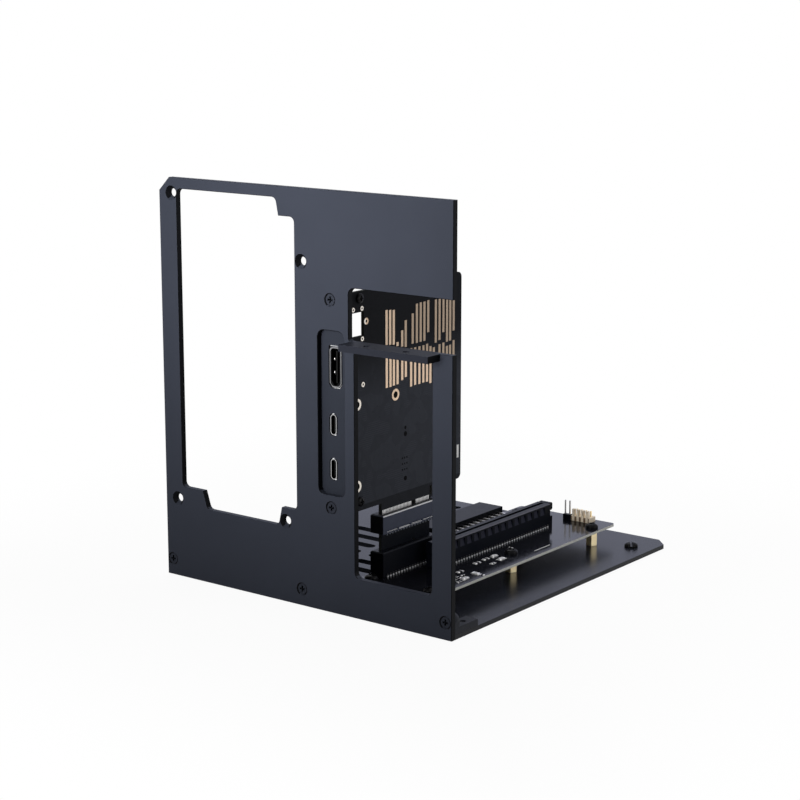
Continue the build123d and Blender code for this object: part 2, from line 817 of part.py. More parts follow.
def card_copper():
    """Bare copper bars and plated rings on the card's right face."""
    plane = Plane.YZ.offset(card_right)
    pieces = []
    for depth, low_end, high_end in upper_bars + lower_bars:
        y, low = on_card(depth, low_end)
        y, high = on_card(depth, high_end)
        outline = Pos(y, (low + high) / 2) * Rectangle(bar_width, high - low)
        pieces.append(extrude(plane * outline, amount=copper_thickness))
    for depth, height, ring, hole in plated_rings:
        outline = Pos(*on_card(depth, height)) * (Circle(ring) - Circle(hole))
        pieces.append(extrude(plane * outline, amount=copper_thickness))
    return joined(pieces)


def video_outline(margin):
    """The video port's outline with slanted lower corners, grown by a margin."""
    half = video_port_size[0] / 2 + margin
    tall = video_port_size[1] / 2 + margin
    cut_x, cut_z = video_port_corner_cut
    corners = (
        (-half + cut_x, -tall), (half - cut_x, -tall), (half, -tall + cut_z),
        (half, tall), (-half, tall), (-half, -tall + cut_z),
    )
    place = Pos(card_x - video_port_offset, card_bottom + video_port_height)
    outline = Polygon(*corners, align=None)
    return place * fillet(outline.vertices(), video_port_corner_radius)


def data_outline(height, margin):
    """A data port's oval outline, grown by a margin."""
    oval = SlotOverall(data_port_size[1] + 2 * margin, data_port_size[0] + 2 * margin, rotation=90)
    return Pos(card_x - data_port_offset, card_bottom + height) * oval


def port_legs(offset, size, height, depth):
    """Solder legs between a port shell and the card's face."""
    side = card_x - offset + size[0] / 2
    z = card_bottom + height
    leg_z = (z - size[1] / 4, z + size[1] / 4)
    legs = []
    for end in (panel_back + depth / 2, panel_back + depth):
        legs.append(span((side - port_wall, card_left), (end - port_leg_length, end), leg_z))
    return legs


def port_shell(outline, inner, depth, legs):
    """A thin metal shell, open at the front, with its solder legs."""
    shell = upright(outline - inner, panel_back, depth)
    for leg in legs:
        shell = shell + leg
    return shell


def port_tongue(inner, offset, size, height, depth):
    """The insulating tongue that fills the rear of a shell."""
    block = upright(inner, panel_back + depth - tongue_back, tongue_back)
    x = card_x - offset
    z = card_bottom + height
    tongue_x = (x - tongue_thickness / 2, x + tongue_thickness / 2)
    tall = size[1] / 2 - port_wall - tongue_end_gap
    tongue_y = (panel_back + tongue_recess, panel_back + depth - tongue_back)
    return block + span(tongue_x, tongue_y, (z - tall, z + tall))


def card_bracket():
    """The plate behind the port window, with two tabs that the card is screwed to."""
    x = (card_x - bracket_left_reach, card_x + bracket_right_reach)
    z = (card_bottom - bracket_bottom_inset, card_top + bracket_top_rise)
    plate = span(x, (panel_back, bracket_back), z)
    rim = video_outline(video_rim_width + port_clearance)
    plate = plate - upright(rim, panel_back, bracket_thickness)
    for height in data_port_heights.values():
        plate = plate - upright(data_outline(height, port_clearance), panel_back, bracket_thickness)
    for screw_x, screw_z in bracket_screw_places:
        hole = panel_screw_radius + fit_clearance
        plate = plate - rod_y(screw_x, screw_z, (panel_back, bracket_back), hole)
    tab_x = (card_left - bracket_thickness, card_left)
    tab_y = (bracket_back, bracket_back + bracket_tab_length)
    low = z[0] + bracket_tab_inset
    high = z[1] - bracket_tab_inset
    for tab_z in ((low, low + bracket_tab_height), (high - bracket_tab_height, high)):
        plate = plate + span(tab_x, tab_y, tab_z)
    for screw_z in card_screw_heights():
        plate = plate - rod_x(card_screw_y, screw_z, tab_x, card_screw_radius + fit_clearance)
    return plate


def card_screws():
    """The screws through the card into the bracket's tabs."""
    screws = []
    for z in card_screw_heights():
        head_x = (card_right, card_right + card_screw_head_height)
        head = rod_x(card_screw_y, z, head_x, card_screw_head_radius)
        head = chamfer(head.edges().filter_by(GeomType.CIRCLE).sort_by(Axis.X)[-1], card_screw_head_height / 3)
        shank = rod_x(card_screw_y, z, (card_left - bracket_thickness, card_right), card_screw_radius)
        screws.append(head + shank)
    return joined(screws)


def controller_chip():
    """The square chip on the card's left face."""
    z = card_bottom + chip_rise
    half = chip_size / 2
    return span((card_left - chip_thickness, card_left), (chip_y - half, chip_y + half), (z - half, z + half))


def controller_heat_sink():
    """The finned heat sink on the chip."""
    z = card_bottom + chip_rise
    base_x = card_left - chip_thickness
    sink_z_limits = (z - sink_height / 2, z + sink_height / 2)
    sink_y_limits = (chip_y - sink_length / 2, chip_y + sink_length / 2)
    sink = span((base_x - sink_base_thickness, base_x), sink_y_limits, sink_z_limits)
    pitch = (sink_length - sink_fin_thickness) / (sink_fins - 1)
    fin_x = (base_x - sink_base_thickness - sink_fin_height, base_x - sink_base_thickness)
    for step in range(sink_fins):
        fin_y = sink_y_limits[0] + step * pitch
        sink = sink + span(fin_x, (fin_y, fin_y + sink_fin_thickness), sink_z_limits)
    return sink


power_left = card_x - power_left_reach
power_right = power_left + power_depth
power_width = power_ways * power_pitch + 2 * power_end_wall


def power_contacts():
    """Places of the power header's contacts, as y, height over the board and row."""
    first = power_front + power_end_wall + power_pitch / 2
    for row in range(power_rows):
        for way in range(power_ways):
            yield first + way * power_pitch, board_top + power_row_first + row * power_pitch, row


def power_header():
    """The right-angle power header, with its sockets facing left."""
    y_limits = (power_front, power_front + power_width)
    body = span((power_left, power_right), y_limits, (board_top, board_top + power_height))
    half = power_socket / 2
    lead = power_lead / 2 + fit_clearance
    for y, z, row in power_contacts():
        socket_x = (power_left, power_left + power_socket_depth)
        body = body - span(socket_x, (y - half, y + half), (z - half, z + half))
        body = body - span((socket_x[1], power_right), (y - lead, y + lead), (z - lead, z + lead))
    return body


def power_leads():
    """The header's leads, each bent down to the board behind it."""
    leads = []
    half = power_lead / 2
    for y, z, row in power_contacts():
        tip = power_left + power_lead_recess
        bend = power_right + power_lead_reach - (1 - row) * power_lead_step
        lead = span((tip, bend + half), (y - half, y + half), (z - half, z + half))
        lead = lead + span((bend - half, bend + half), (y - half, y + half), (board_top, z))
        leads.append(lead)
    return joined(leads)


fan_left = graphics_x + fan_offset
fan_width = fan_ways * fan_pitch


def fan_way_places():
    """Places of the fan connector's ways along x."""
    return [fan_left + (way + 0.5) * fan_pitch for way in range(fan_ways)]


def fan_connector():
    """The four-way connector: a floor with a row of posts along its front."""
    x = (fan_left, fan_left + fan_width)
    y = (fan_front, fan_front + fan_depth)
    body = span(x, y, (board_top, board_top + fan_floor_height))
    hole = fan_pin / 2 + fit_clearance
    pin_y = fan_front + fan_pin_inset
    for way in fan_way_places():
        post_x = (way - fan_post_width / 2, way + fan_post_width / 2)
        post_y = (fan_front, fan_front + fan_post_depth)
        body = body + span(post_x, post_y, (board_top, board_top + fan_post_height))
        hole_z = (board_top, board_top + fan_floor_height)
        body = body - span((way - hole, way + hole), (pin_y - hole, pin_y + hole), hole_z)
    return body


def fan_pins():
    """The fan connector's upright pins behind its posts."""
    pins = []
    half = fan_pin / 2
    pin_y = (fan_front + fan_pin_inset - half, fan_front + fan_pin_inset + half)
    for way in fan_way_places():
        pins.append(span((way - half, way + half), pin_y, (board_top, board_top + fan_pin_height)))
    return joined(pins)


def header_places():
    """Places of the pin header's pins along x."""
    first = graphics_x + header_offset - (header_ways - 1) * header_pitch / 2
    return [first + way * header_pitch for way in range(header_ways)]


def switch_header():
    """The pin header's base."""
    places = header_places()
    x = (places[0] - header_side_margin, places[-1] + header_side_margin)
    y = (header_y - header_depth / 2, header_y + header_depth / 2)
    body = span(x, y, (board_top, board_top + header_base_height))
    hole = header_pin / 2 + fit_clearance
    for place in places:
        hole_y = (header_y - hole, header_y + hole)
        body = body - span((place - hole, place + hole), hole_y, (board_top, board_top + header_base_height))
    return body


def switch_header_pins():
    """The pin header's square pins, standing on the board."""
    pins = []
    half = header_pin / 2
    for place in header_places():
        y = (header_y - half, header_y + half)
        pins.append(span((place - half, place + half), y, (board_top, board_top + header_pin_height)))
    return joined(pins)


graphics_slot_y = (graphics_slot_front, graphics_slot_front + graphics_slot_length)
nodes = {
    "front_panel": front_panel(),
    "panel_screws": panel_screws(),
    "bracket_ledge": bracket_ledge(),
    "base_plate": base_plate(),
    "base_screws": base_screws(),
    "rear_screws": rear_screws(),
    "main_board": main_board(),
    "board_standoffs": board_standoffs(),
    "board_screws": board_screws(),
    "graphics_slot_housing": graphics_slot_housing(),
    "graphics_slot_contacts": slot_tails(graphics_x, graphics_slot_y, board_top),
    "graphics_slot_latch": graphics_slot_latch(),
    "riser_slot_housing": edge_slot(
        card_x, short_slot_y, (board_top, riser_slot_top), slot_cavity_depth, short_key, short_slot_end_wall
    ),
    "riser_slot_contacts": slot_tails(card_x, short_slot_y, board_top),
    "riser_board": riser_board(),
    "card_slot_housing": card_slot_housing(),
    "card_slot_contacts": card_slot_tails(short_slot_y),
    "controller_board": controller_board(),
    "card_fingers": card_fingers(),
    "card_copper": card_copper(),
    "card_bracket": card_bracket(),
    "card_screws": card_screws(),
    "controller_chip": controller_chip(),
    "controller_heat_sink": controller_heat_sink(),
    "power_header": power_header(),
    "power_header_leads": power_leads(),
    "fan_connector": fan_connector(),
    "fan_connector_pins": fan_pins(),
    "switch_header": switch_header(),
    "switch_header_pins": switch_header_pins(),
}
for side, centre in angle_centres.items():
    nodes["corner_angle_" + side] = angle_bracket(centre)

video_inner = video_outline(-port_wall)
video_legs = port_legs(video_port_offset, video_port_size, video_port_height, video_port_depth)
video_shell = port_shell(video_outline(0), video_inner, video_port_depth, video_legs)
video_rim = upright(video_outline(video_rim_width) - video_inner, panel_back, video_rim_depth)
nodes["video_port_shell"] = video_shell + video_rim
nodes["video_port_tongue"] = port_tongue(
    video_inner, video_port_offset, video_port_size, video_port_height, video_port_depth
)
for place, height in data_port_heights.items():
    inner = data_outline(height, -port_wall)
    legs = port_legs(data_port_offset, data_port_size, height, data_port_depth)
    shell = port_shell(data_outline(height, 0), inner, data_port_depth, legs)
    nodes["data_port_" + place + "_shell"] = shell
    nodes["data_port_" + place + "_tongue"] = port_tongue(
        inner, data_port_offset, data_port_size, height, data_port_depth
    )

os.makedirs("parts", exist_ok=True)
for name, shape in nodes.items():
    export_step(frame_shift * shape, "parts/" + name + ".step")
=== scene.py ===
import logging
import math
from collections.abc import Sequence
from dataclasses import dataclass, field
from enum import Enum

import bmesh
import bpy
from mathutils import Matrix, Vector


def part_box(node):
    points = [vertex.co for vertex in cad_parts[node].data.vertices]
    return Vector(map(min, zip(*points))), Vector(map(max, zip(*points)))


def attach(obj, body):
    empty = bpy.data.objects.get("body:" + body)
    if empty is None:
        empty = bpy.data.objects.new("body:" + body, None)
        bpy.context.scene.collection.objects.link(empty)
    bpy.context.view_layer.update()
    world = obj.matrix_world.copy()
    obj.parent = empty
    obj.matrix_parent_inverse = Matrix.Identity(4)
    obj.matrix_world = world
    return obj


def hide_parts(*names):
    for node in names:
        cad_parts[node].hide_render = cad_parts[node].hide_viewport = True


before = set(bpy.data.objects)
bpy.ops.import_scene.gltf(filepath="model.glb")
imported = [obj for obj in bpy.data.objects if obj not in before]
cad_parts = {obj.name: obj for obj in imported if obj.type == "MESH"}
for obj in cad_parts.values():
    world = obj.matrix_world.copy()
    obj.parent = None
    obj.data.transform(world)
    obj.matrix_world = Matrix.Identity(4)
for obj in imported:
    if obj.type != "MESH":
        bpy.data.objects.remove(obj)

LOG = logging.getLogger("dock")
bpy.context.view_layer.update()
MM = 0.001
BODY = "dock"

Triple = tuple[float, float, float]
Span = tuple[float, float]
Strips = tuple[int, float, float, float]
Socket = bpy.types.NodeSocket
Material = bpy.types.Material
Solid = bmesh.types.BMesh

WHITE = (1.0, 1.0, 1.0, 1.0)
PLAIN_NOISE, FINE_NOISE = 1.0, 3.0
# Sockets of a Mix node that mixes colours.
COLOUR_A, COLOUR_B, COLOUR_RESULT = 6, 7, 2
SAME_POINT, WELD_GAP = 0.001 * MM, 0.01 * MM
FLAT_ANGLE, EDGE_ANGLE, SHARP_ANGLE = (math.radians(turn) for turn in (0.3, 40, 38))
EDGE_SEGMENTS = 2
SPOT_SIDES, SPRING_SIDES, ROUND_SIDES, HEAD_SIDES = 14, 20, 28, 32


class BoardPlane(Enum):
    """How a circuit board stands: the axis that its faces look along."""

    LEVEL = 2
    UPRIGHT = 0


class HeadKind(Enum):
    """The shapes of screw heads."""

    COUNTERSUNK = "countersunk"
    PAN = "pan"


class Recess(Enum):
    """The recesses of screw heads: reach, half the width and depth, as shares of the head's radius."""

    CROSS = (0.56, 0.17, 0.62)
    SLOT = (1.2, 0.2, 0.5)


class Direction(Enum):
    """The way that a screw head or a face looks."""

    UP = (0.0, 0.0, 1.0)
    UP_RIGHT = (0.7071, 0.0, 0.7071)
    DOWN = (0.0, 0.0, -1.0)
    FRONT = (0.0, -1.0, 0.0)
    RIGHT = (1.0, 0.0, 0.0)
    RIGHT_RAMP = (0.98, 0.0, 0.2)


class SmallPart(Enum):
    """Kinds of small parts on the boards: width, length and height in millimetres."""

    RESISTOR = (1.9, 3.3, 0.4)
    CAPACITOR = (1.9, 3.3, 0.55)
    SPECK = (1.0, 1.8, 0.3)
    COIL = (6.6, 6.8, 3.0)
    REGULATOR = (3.9, 4.9, 1.5)


class Value:
    """A number in a shader. Python's operators on it add Math nodes."""

    def __init__(self, recipe: "Recipe", socket: Socket) -> None:
        """Keeps the recipe that the number belongs to, and its output socket."""
        self.recipe = recipe
        self.socket = socket

    def math(self, operation: str, *terms: "Value | float") -> "Value":
        """The result of a Math node that takes the terms in order."""
        return self.recipe.number("ShaderNodeMath", dict(enumerate(terms)), operation=operation)

    def __add__(self, other: "Value | float") -> "Value":
        """Sum."""
        return self.math("ADD", self, other)

    def __radd__(self, other: float) -> "Value":
        """Sum with a number on the left."""
        return self.math("ADD", other, self)

    def __sub__(self, other: "Value | float") -> "Value":
        """Difference."""
        return self.math("SUBTRACT", self, other)

    def __rsub__(self, other: float) -> "Value":
        """Difference from a number on the left."""
        return self.math("SUBTRACT", other, self)

    def __mul__(self, other: "Value | float") -> "Value":
        """Product."""
        return self.math("MULTIPLY", self, other)

    def __rmul__(self, other: float) -> "Value":
        """Product with a number on the left."""
        return self.math("MULTIPLY", other, self)

    def __mod__(self, other: float) -> "Value":
        """Remainder, never below zero."""
        return self.math("FLOORED_MODULO", self, other)

    def __lt__(self, other: "Value | float") -> "Value":
        """1 where this is less, and 0 elsewhere."""
        return self.math("LESS_THAN", self, other)

    def __gt__(self, other: "Value | float") -> "Value":
        """1 where this is greater, and 0 elsewhere."""
        return self.math("GREATER_THAN", self, other)

    def __or__(self, other: "Value") -> "Value":
        """The larger of two values."""
        return self.math("MAXIMUM", self, other)

    def __abs__(self) -> "Value":
        """Size without sign."""
        return self.math("ABSOLUTE", self)

    def between(self, low: float, high: float) -> "Value":
        """A smooth step from 0 at low to 1 at high."""
        ends = {"Value": self, "From Min": low, "From Max": high}
        return self.recipe.number("ShaderNodeMapRange", ends, interpolation_type="SMOOTHSTEP")

    def swing(self, width: float) -> "Value":
        """How far a noise lies from its middle, times a width."""
        return (self - 0.5) * width


class Recipe:
    """The nodes of one material, or of the world."""

    def __init__(self, owner: Material | bpy.types.World) -> None:
        """Empties the owner's nodes.

        Args:
            owner: The material or world that is made.
        """
        owner.use_nodes = True
        self.owner = owner
        self.tree = owner.node_tree
        self.tree.nodes.clear()

    @classmethod
    def named(cls, name: str) -> "Recipe":
        """A recipe for a new material of that name."""
        return cls(bpy.data.materials.new(name))

    def add(self, kind: str, sockets: dict, **settings: str) -> bpy.types.bpy_prop_collection:
        """Adds a node of any type.

        Args:
            kind: The node's type name.
            sockets: Values or links, by the input's name or number.
            settings: Attributes that are set first.

        Returns:
            The new node's outputs.
        """
        node = self.tree.nodes.new(kind)
        for name, value in settings.items():
            setattr(node, name, value)
        for key, value in sockets.items():
            target = node.inputs[key]
            link = value.socket if isinstance(value, Value) else value
            if isinstance(link, Socket):
                self.tree.links.new(link, target)
            else:
                target.default_value = value
        return node.outputs

    def number(self, kind: str, sockets: dict, output: int | str = 0, **settings: str) -> Value:
        """One output of a new node, as a number."""
        return Value(self, self.add(kind, sockets, **settings)[output])

    def vector(self, operation: str, sockets: dict) -> Socket:
        """The result of a new Vector Math node."""
        return self.add("ShaderNodeVectorMath", sockets, operation=operation)[0]

    def source(self, output: str) -> Socket:
        """One of the coordinates of a surface."""
        return self.add("ShaderNodeTexCoord", {})[output]

    def place(self) -> Socket:
        """The point on the object, in millimetres in the dock's frame."""
        return self.vector("SCALE", {0: self.source("Object"), "Scale": 1.0 / MM})

    def stretched(self, point: Socket, factors: Triple) -> Socket:
        """A point with each axis scaled, for streaks."""
        return self.vector("MULTIPLY", {0: point, 1: factors})

    def axes(self, point: Socket) -> tuple[Value, ...]:
        """The three parts of a vector."""
        return tuple(Value(self, part) for part in self.add("ShaderNodeSeparateXYZ", {0: point}))

    def facing(self) -> tuple[Value, ...]:
        """The surface's own direction, part by part."""
        return self.axes(self.source("Normal"))

    def noise(self, point: Socket, per_mm: float, detail: float = 2.0) -> Value:
        """Soft random clouds around 0.5, so many to a millimetre, with more or less fine structure."""
        sockets = {"Vector": point, "Scale": per_mm, "Detail": detail}
        return self.number("ShaderNodeTexNoise", sockets, noise_dimensions="3D")

    def cells(self, point: Socket, per_mm: float) -> Value:
        """Distance to the nearest of scattered points, in cell sizes."""
        sockets = {"Vector": point, "Scale": per_mm}
        return self.number("ShaderNodeTexVoronoi", sockets, "Distance", feature="F1", voronoi_dimensions="3D")

    def looks(self, direction: Direction, limit: float = 0.85) -> Value:
        """1 where the surface looks in a direction, up to an angle with this cosine, and 0 elsewhere."""
        sockets = {0: self.source("Normal"), 1: direction.value}
        return self.number("ShaderNodeVectorMath", sockets, "Value", operation="DOT_PRODUCT") > limit

    def beyond(self, x: Value, z: Value, half: Span, corner: float) -> Value:
        """How far a point lies outside a rounded rectangle.

        Args:
            x: The point's place across, from the rectangle's middle.
            z: The point's place upwards, from the rectangle's middle.
            half: Half the rectangle's width and height.
            corner: Radius of its corners.

        Returns:
            The distance, below zero within the rectangle.
        """
        sides = []
        for part, reach in zip((x, z), half):
            side = abs(part) - (reach - corner)
            sides.append(side.math("MAXIMUM", side, 0.0))
        square = sides[0] * sides[0] + sides[1] * sides[1]
        return square.math("SQRT", square) - corner

    def mix(self, share: Value, first: Triple | Socket, second: Triple | Socket) -> Socket:
        """A colour between two colours.

        Args:
            share: 0 for the first colour, 1 for the second.
            first: A colour or a colour socket.
            second: A colour or a colour socket.

        Returns:
            The mixed colour's socket.
        """
        ends = [(*end, 1.0) if isinstance(end, tuple) else end for end in (first, second)]
        sockets = {0: share, COLOUR_A: ends[0], COLOUR_B: ends[1]}
        return self.add("ShaderNodeMix", sockets, data_type="RGBA")[COLOUR_RESULT]

    def mottled(self, share: Value, colour: Triple, spread: float) -> Socket:
        """A colour that a noise makes a little darker or lighter."""
        return self.mix(share, shade(colour, 1 - spread), shade(colour, 1 + spread))

    def bump(self, height: Value, depth_mm: float) -> Socket:
        """A surface direction that follows a height."""
        return self.add("ShaderNodeBump", {"Strength": 1.0, "Distance": depth_mm * MM, "Height": height})[0]

    def shows_background(self) -> Value:
        """Tells apart the rays that see the white background.

        Returns:
            1 for rays that go straight, mirrored or through glass, and 0 for others.
        """
        path = self.add("ShaderNodeLightPath", {})
        straight, mirrored, through = (
            Value(self, path[name]) for name in ("Is Camera Ray", "Is Glossy Ray", "Is Transmission Ray")
        )
        return straight | mirrored | through

    def blend(self, share: Value, first: Socket, second: Socket) -> Socket:
        """A shader between two shaders: 0 gives the first, 1 the second."""
        return self.add("ShaderNodeMixShader", {0: share, 1: first, 2: second})[0]

    def end(self, shader: Socket) -> Material | bpy.types.World:
        """Ends the recipe with a shader.

        Args:
            shader: What the owner shows.

        Returns:
            The finished owner.
        """
        is_material = isinstance(self.owner, Material)
        self.add("ShaderNodeOutputMaterial" if is_material else "ShaderNodeOutputWorld", {"Surface": shader})
        return self.owner

    def surface(
        self, colour: Socket, roughness: Value, normal: Socket, specular: float = 0.5, metallic: float = 0.0
    ) -> Material:
        """Ends the material with a principled surface.

        Args:
            colour: Its colour.
            roughness: Its roughness.
            normal: Its direction, with the bumps.
            specular: Strength of its clear reflection.
            metallic: 1 for bare metal, and 0 for coats and plastics.

        Returns:
            The finished material.
        """
        sockets = {"Base Color": colour, "Roughness": roughness, "Normal": normal}
        constants = {"Specular IOR Level": specular, "Metallic": metallic}
        return self.end(self.add("ShaderNodeBsdfPrincipled", sockets | constants)[0])


def shade(colour: Triple, factor: float) -> Triple:
    """A colour made lighter or darker."""
    return tuple(min(1.0, part * factor) for part in colour)


class Port(Enum):
    """The ports: the tongue in the middle, half the mouth's width and height, and its corner radius."""

    VIDEO = ("video_port_tongue", (3.15, 8.5), 2.2)
    DATA_UPPER = ("data_port_upper_tongue", (1.65, 4.3), 1.6)
    DATA_LOWER = ("data_port_lower_tongue", (1.65, 4.3), 1.6)

    def beyond(self, recipe: Recipe) -> Value:
        """How far a surface lies outside the port's mouth, seen from the front.

        Args:
            recipe: The recipe of the surface.

        Returns:
            The distance in millimetres, below zero within the mouth.
        """
        node, half, corner = self.value
        low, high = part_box(node)
        middle = (low + high) / 2 / MM
        x, _, z = recipe.axes(recipe.place())
        return recipe.beyond(x - middle.x, z - middle.z, half, corner)


@dataclass(frozen=True)
class CoatFinish:
    """Satin coat on sheet metal, with a fine grain, pale flecks and faint clouds.

    Where the cut tone is given, cut sides get painted shade, and a band round each port's mouth a painted shadow.
    """

    name: str
    colour: Triple
    roughness: float
    specular: float
    grain_per_mm: float = 3.2
    grain_depth: float = 0.01
    grain_rough: float = 0.12
    cloud_per_mm: float = 0.045
    cloud_spread: float = 0.08
    cloud_rough: float = 0.08
    flecks: Span = (0.62, 0.78)
    fleck_share: float = 0.25
    fleck_tone: float = 1.5
    cut_shade_tone: float = 1.0
    cut_limit: float = 0.93
    level_limit: float = 0.6
    ports: tuple[Port, ...] = ()
    port_shadow_reach: float = 0.6

    def build(self) -> Material:
        """Makes the material.

        Returns:
            The new material.
        """
        recipe = Recipe.named(self.name)
        place = recipe.place()
        cloud = recipe.noise(place, self.cloud_per_mm, FINE_NOISE)
        grain = recipe.noise(place, self.grain_per_mm)
        tone = recipe.mottled(cloud, self.colour, self.cloud_spread)
        fleck = grain.between(*self.flecks) * self.fleck_share
        tone = recipe.mix(fleck, tone, shade(self.colour, self.fleck_tone))
        # Painted shade on the sides that were cut through the sheet.
        if self.cut_shade_tone < 1.0:
            _, front, up = recipe.facing()
            cut = (abs(front) < self.cut_limit) * (up < self.level_limit)
            tone = recipe.mix(cut, tone, shade(self.colour, self.cut_shade_tone))
        # Painted shadow in a band round each port's mouth.
        for port in self.ports:
            shaded_gap = port.beyond(recipe) < self.port_shadow_reach
            tone = recipe.mix(shaded_gap, tone, shade(self.colour, self.cut_shade_tone))
        rough = self.roughness + cloud.swing(self.cloud_rough) + grain.swing(self.grain_rough)
        return recipe.surface(tone, rough, recipe.bump(grain, self.grain_depth), self.specular)


@dataclass(frozen=True)
class BoardFinish:
    """Solder mask over traces and vias, with a bare resin edge.

    The mask is darker below the height bare_below, and painted shade darkens it above a span of heights. Traces run
    one way where the region noise is over the span trace_regions, and the other way where it is under it.
    """

    name: str
    mask: Triple
    edge: Triple
    plane: BoardPlane
    roughness: float
    specular: float
    bare_below: float = -1.0
    shade_above: Span = (500.0, 501.0)
    relief: float = 0.008
    bare_share: float = 0.6
    shade_share: float = 0.95
    bare_and_shade_tone: float = 0.1
    face_limit: float = 0.5
    edge_rough: float = 0.4
    region_per_mm: float = 0.085
    trace_pitch: float = 0.9
    trace_width: float = 0.405
    trace_regions: Span = (0.43, 0.56)
    trace_share: float = 0.4
    trace_tone: float = 1.6
    trace_rough: float = 0.03
    dots_per_mm: float = 0.34
    dot_radius: float = 0.11
    dot_region: float = 0.47
    dot_share: float = 0.5
    dot_tone: float = 0.35
    cloud_per_mm: float = 0.4
    cloud_spread: float = 0.12
    cloud_rough: float = 0.06

    def build(self) -> Material:
        """Makes the material.

        Returns:
            The new material.
        """
        recipe = Recipe.named(self.name)
        place = recipe.place()
        x, y, z = recipe.axes(place)
        along, across = (x, y) if self.plane is BoardPlane.LEVEL else (y, z)
        face = abs(recipe.facing()[self.plane.value]) > self.face_limit
        region = recipe.noise(place, self.region_per_mm, PLAIN_NOISE)
        low, high = self.trace_regions
        runs = (along % self.trace_pitch < self.trace_width) * (region > high)
        runs = runs | ((across % self.trace_pitch < self.trace_width) * (region < low))
        dot = (recipe.cells(place, self.dots_per_mm) < self.dot_radius) * (region > self.dot_region)
        cloud = recipe.noise(place, self.cloud_per_mm)
        tone = recipe.mottled(cloud, self.mask, self.cloud_spread)
        tone = recipe.mix(runs * self.trace_share, tone, shade(self.mask, self.trace_tone))
        tone = recipe.mix(dot * self.dot_share, tone, shade(self.mask, self.dot_tone))
        # Painted shade above the upper span of heights; below bare_below the mask has its own darker colour.
        dark = (z < self.bare_below) * self.bare_share | z.between(*self.shade_above) * self.shade_share
        tone = recipe.mix(dark, tone, shade(self.mask, self.bare_and_shade_tone))
        tone = recipe.mix(face, self.edge, tone)
        rough = self.roughness + (1 - face) * self.edge_rough + runs * self.trace_rough + cloud.swing(self.cloud_rough)
        return recipe.surface(tone, rough, recipe.bump(runs | dot, self.relief), self.specular)


@dataclass(frozen=True)
class MouldedFinish:
    """Moulded plastic with a fine matt grain; faces paints highlights and shade on what looks in a direction, to a
    limit.
    """

    name: str
    colour: Triple
    roughness: float
    specular: float = 0.25
    faces: tuple[tuple[Direction, float, Triple], ...] = ()
    grain_per_mm: float = 5.0
    grain_depth: float = 0.006
    grain_rough: float = 0.16
    cloud_per_mm: float = 0.25
    cloud_spread: float = 0.12
    cloud_rough: float = 0.06

    def build(self) -> Material:
        """Makes the material.

        Returns:
            The new material.
        """
        recipe = Recipe.named(self.name)
        place = recipe.place()
        cloud = recipe.noise(place, self.cloud_per_mm)
        grain = recipe.noise(place, self.grain_per_mm)
        tone = recipe.mottled(cloud, self.colour, self.cloud_spread)
        # Painted highlights and painted shade, by the way each face looks.
        for direction, limit, colour in self.faces:
            tone = recipe.mix(recipe.looks(direction, limit), tone, colour)
        rough = self.roughness + grain.swing(self.grain_rough) + cloud.swing(self.cloud_rough)
        return recipe.surface(tone, rough, recipe.bump(grain, self.grain_depth), self.specular)


@dataclass(frozen=True)
class MetalFinish:
    """Bare or plated metal with fine streaks along one axis.

    It has painted shade above one height, a painted highlight in front of one depth, and a painted shadow above a
    line that falls towards the rear, deeper towards the rear over a given span.
    """

    name: str
    colour: Triple
    roughness: float
    streak: Triple = (1.0, 1.0, 1.0)
    stain: float = 0.12
    metallic: float = 1.0
    specular: float = 0.5
    lit_below: float = 1000.0
    shaded_tone: float = 0.06
    highlight_before: float = -1000.0
    highlight_colour: Triple = (0.95, 0.88, 0.78)
    shadow_over: Span = (900.0, 1000.0)
    shadow_slope: float = 0.21
    shadow_back: Span = (-46.0, -38.0)
    shadow_least: float = 0.4
    shadow_colour: Triple = (0.38, 0.283, 0.192)
    streak_per_mm: float = 4.0
    streak_depth: float = 0.004
    streak_rough: float = 0.2
    cloud_per_mm: float = 0.5
    cloud_rough: float = 0.08

    def build(self) -> Material:
        """Makes the material.

        Returns:
            The new material.
        """
        recipe = Recipe.named(self.name)
        place = recipe.place()
        streak = recipe.noise(recipe.stretched(place, self.streak), self.streak_per_mm, FINE_NOISE)
        cloud = recipe.noise(place, self.cloud_per_mm)
        tone = recipe.mottled(cloud, self.colour, self.stain)
        _, back, height = recipe.axes(place)
        # Painted shade above a given height.
        tone = recipe.mix(height > self.lit_below, tone, shade(self.colour, self.shaded_tone))
        # Painted shadow above a line that falls towards the rear, deeper towards the rear.
        painted_shadow = (height + back * self.shadow_slope).between(*self.shadow_over)
        share = self.shadow_least + back.between(*self.shadow_back) * (1 - self.shadow_least)
        tone = recipe.mix(painted_shadow * share, tone, self.shadow_colour)
        # Painted highlight in front of a given depth.
        tone = recipe.mix(back < self.highlight_before, tone, self.highlight_colour)
        rough = self.roughness + streak.swing(self.streak_rough) + cloud.swing(self.cloud_rough)
        return recipe.surface(tone, rough, recipe.bump(streak, self.streak_depth), self.specular, self.metallic)


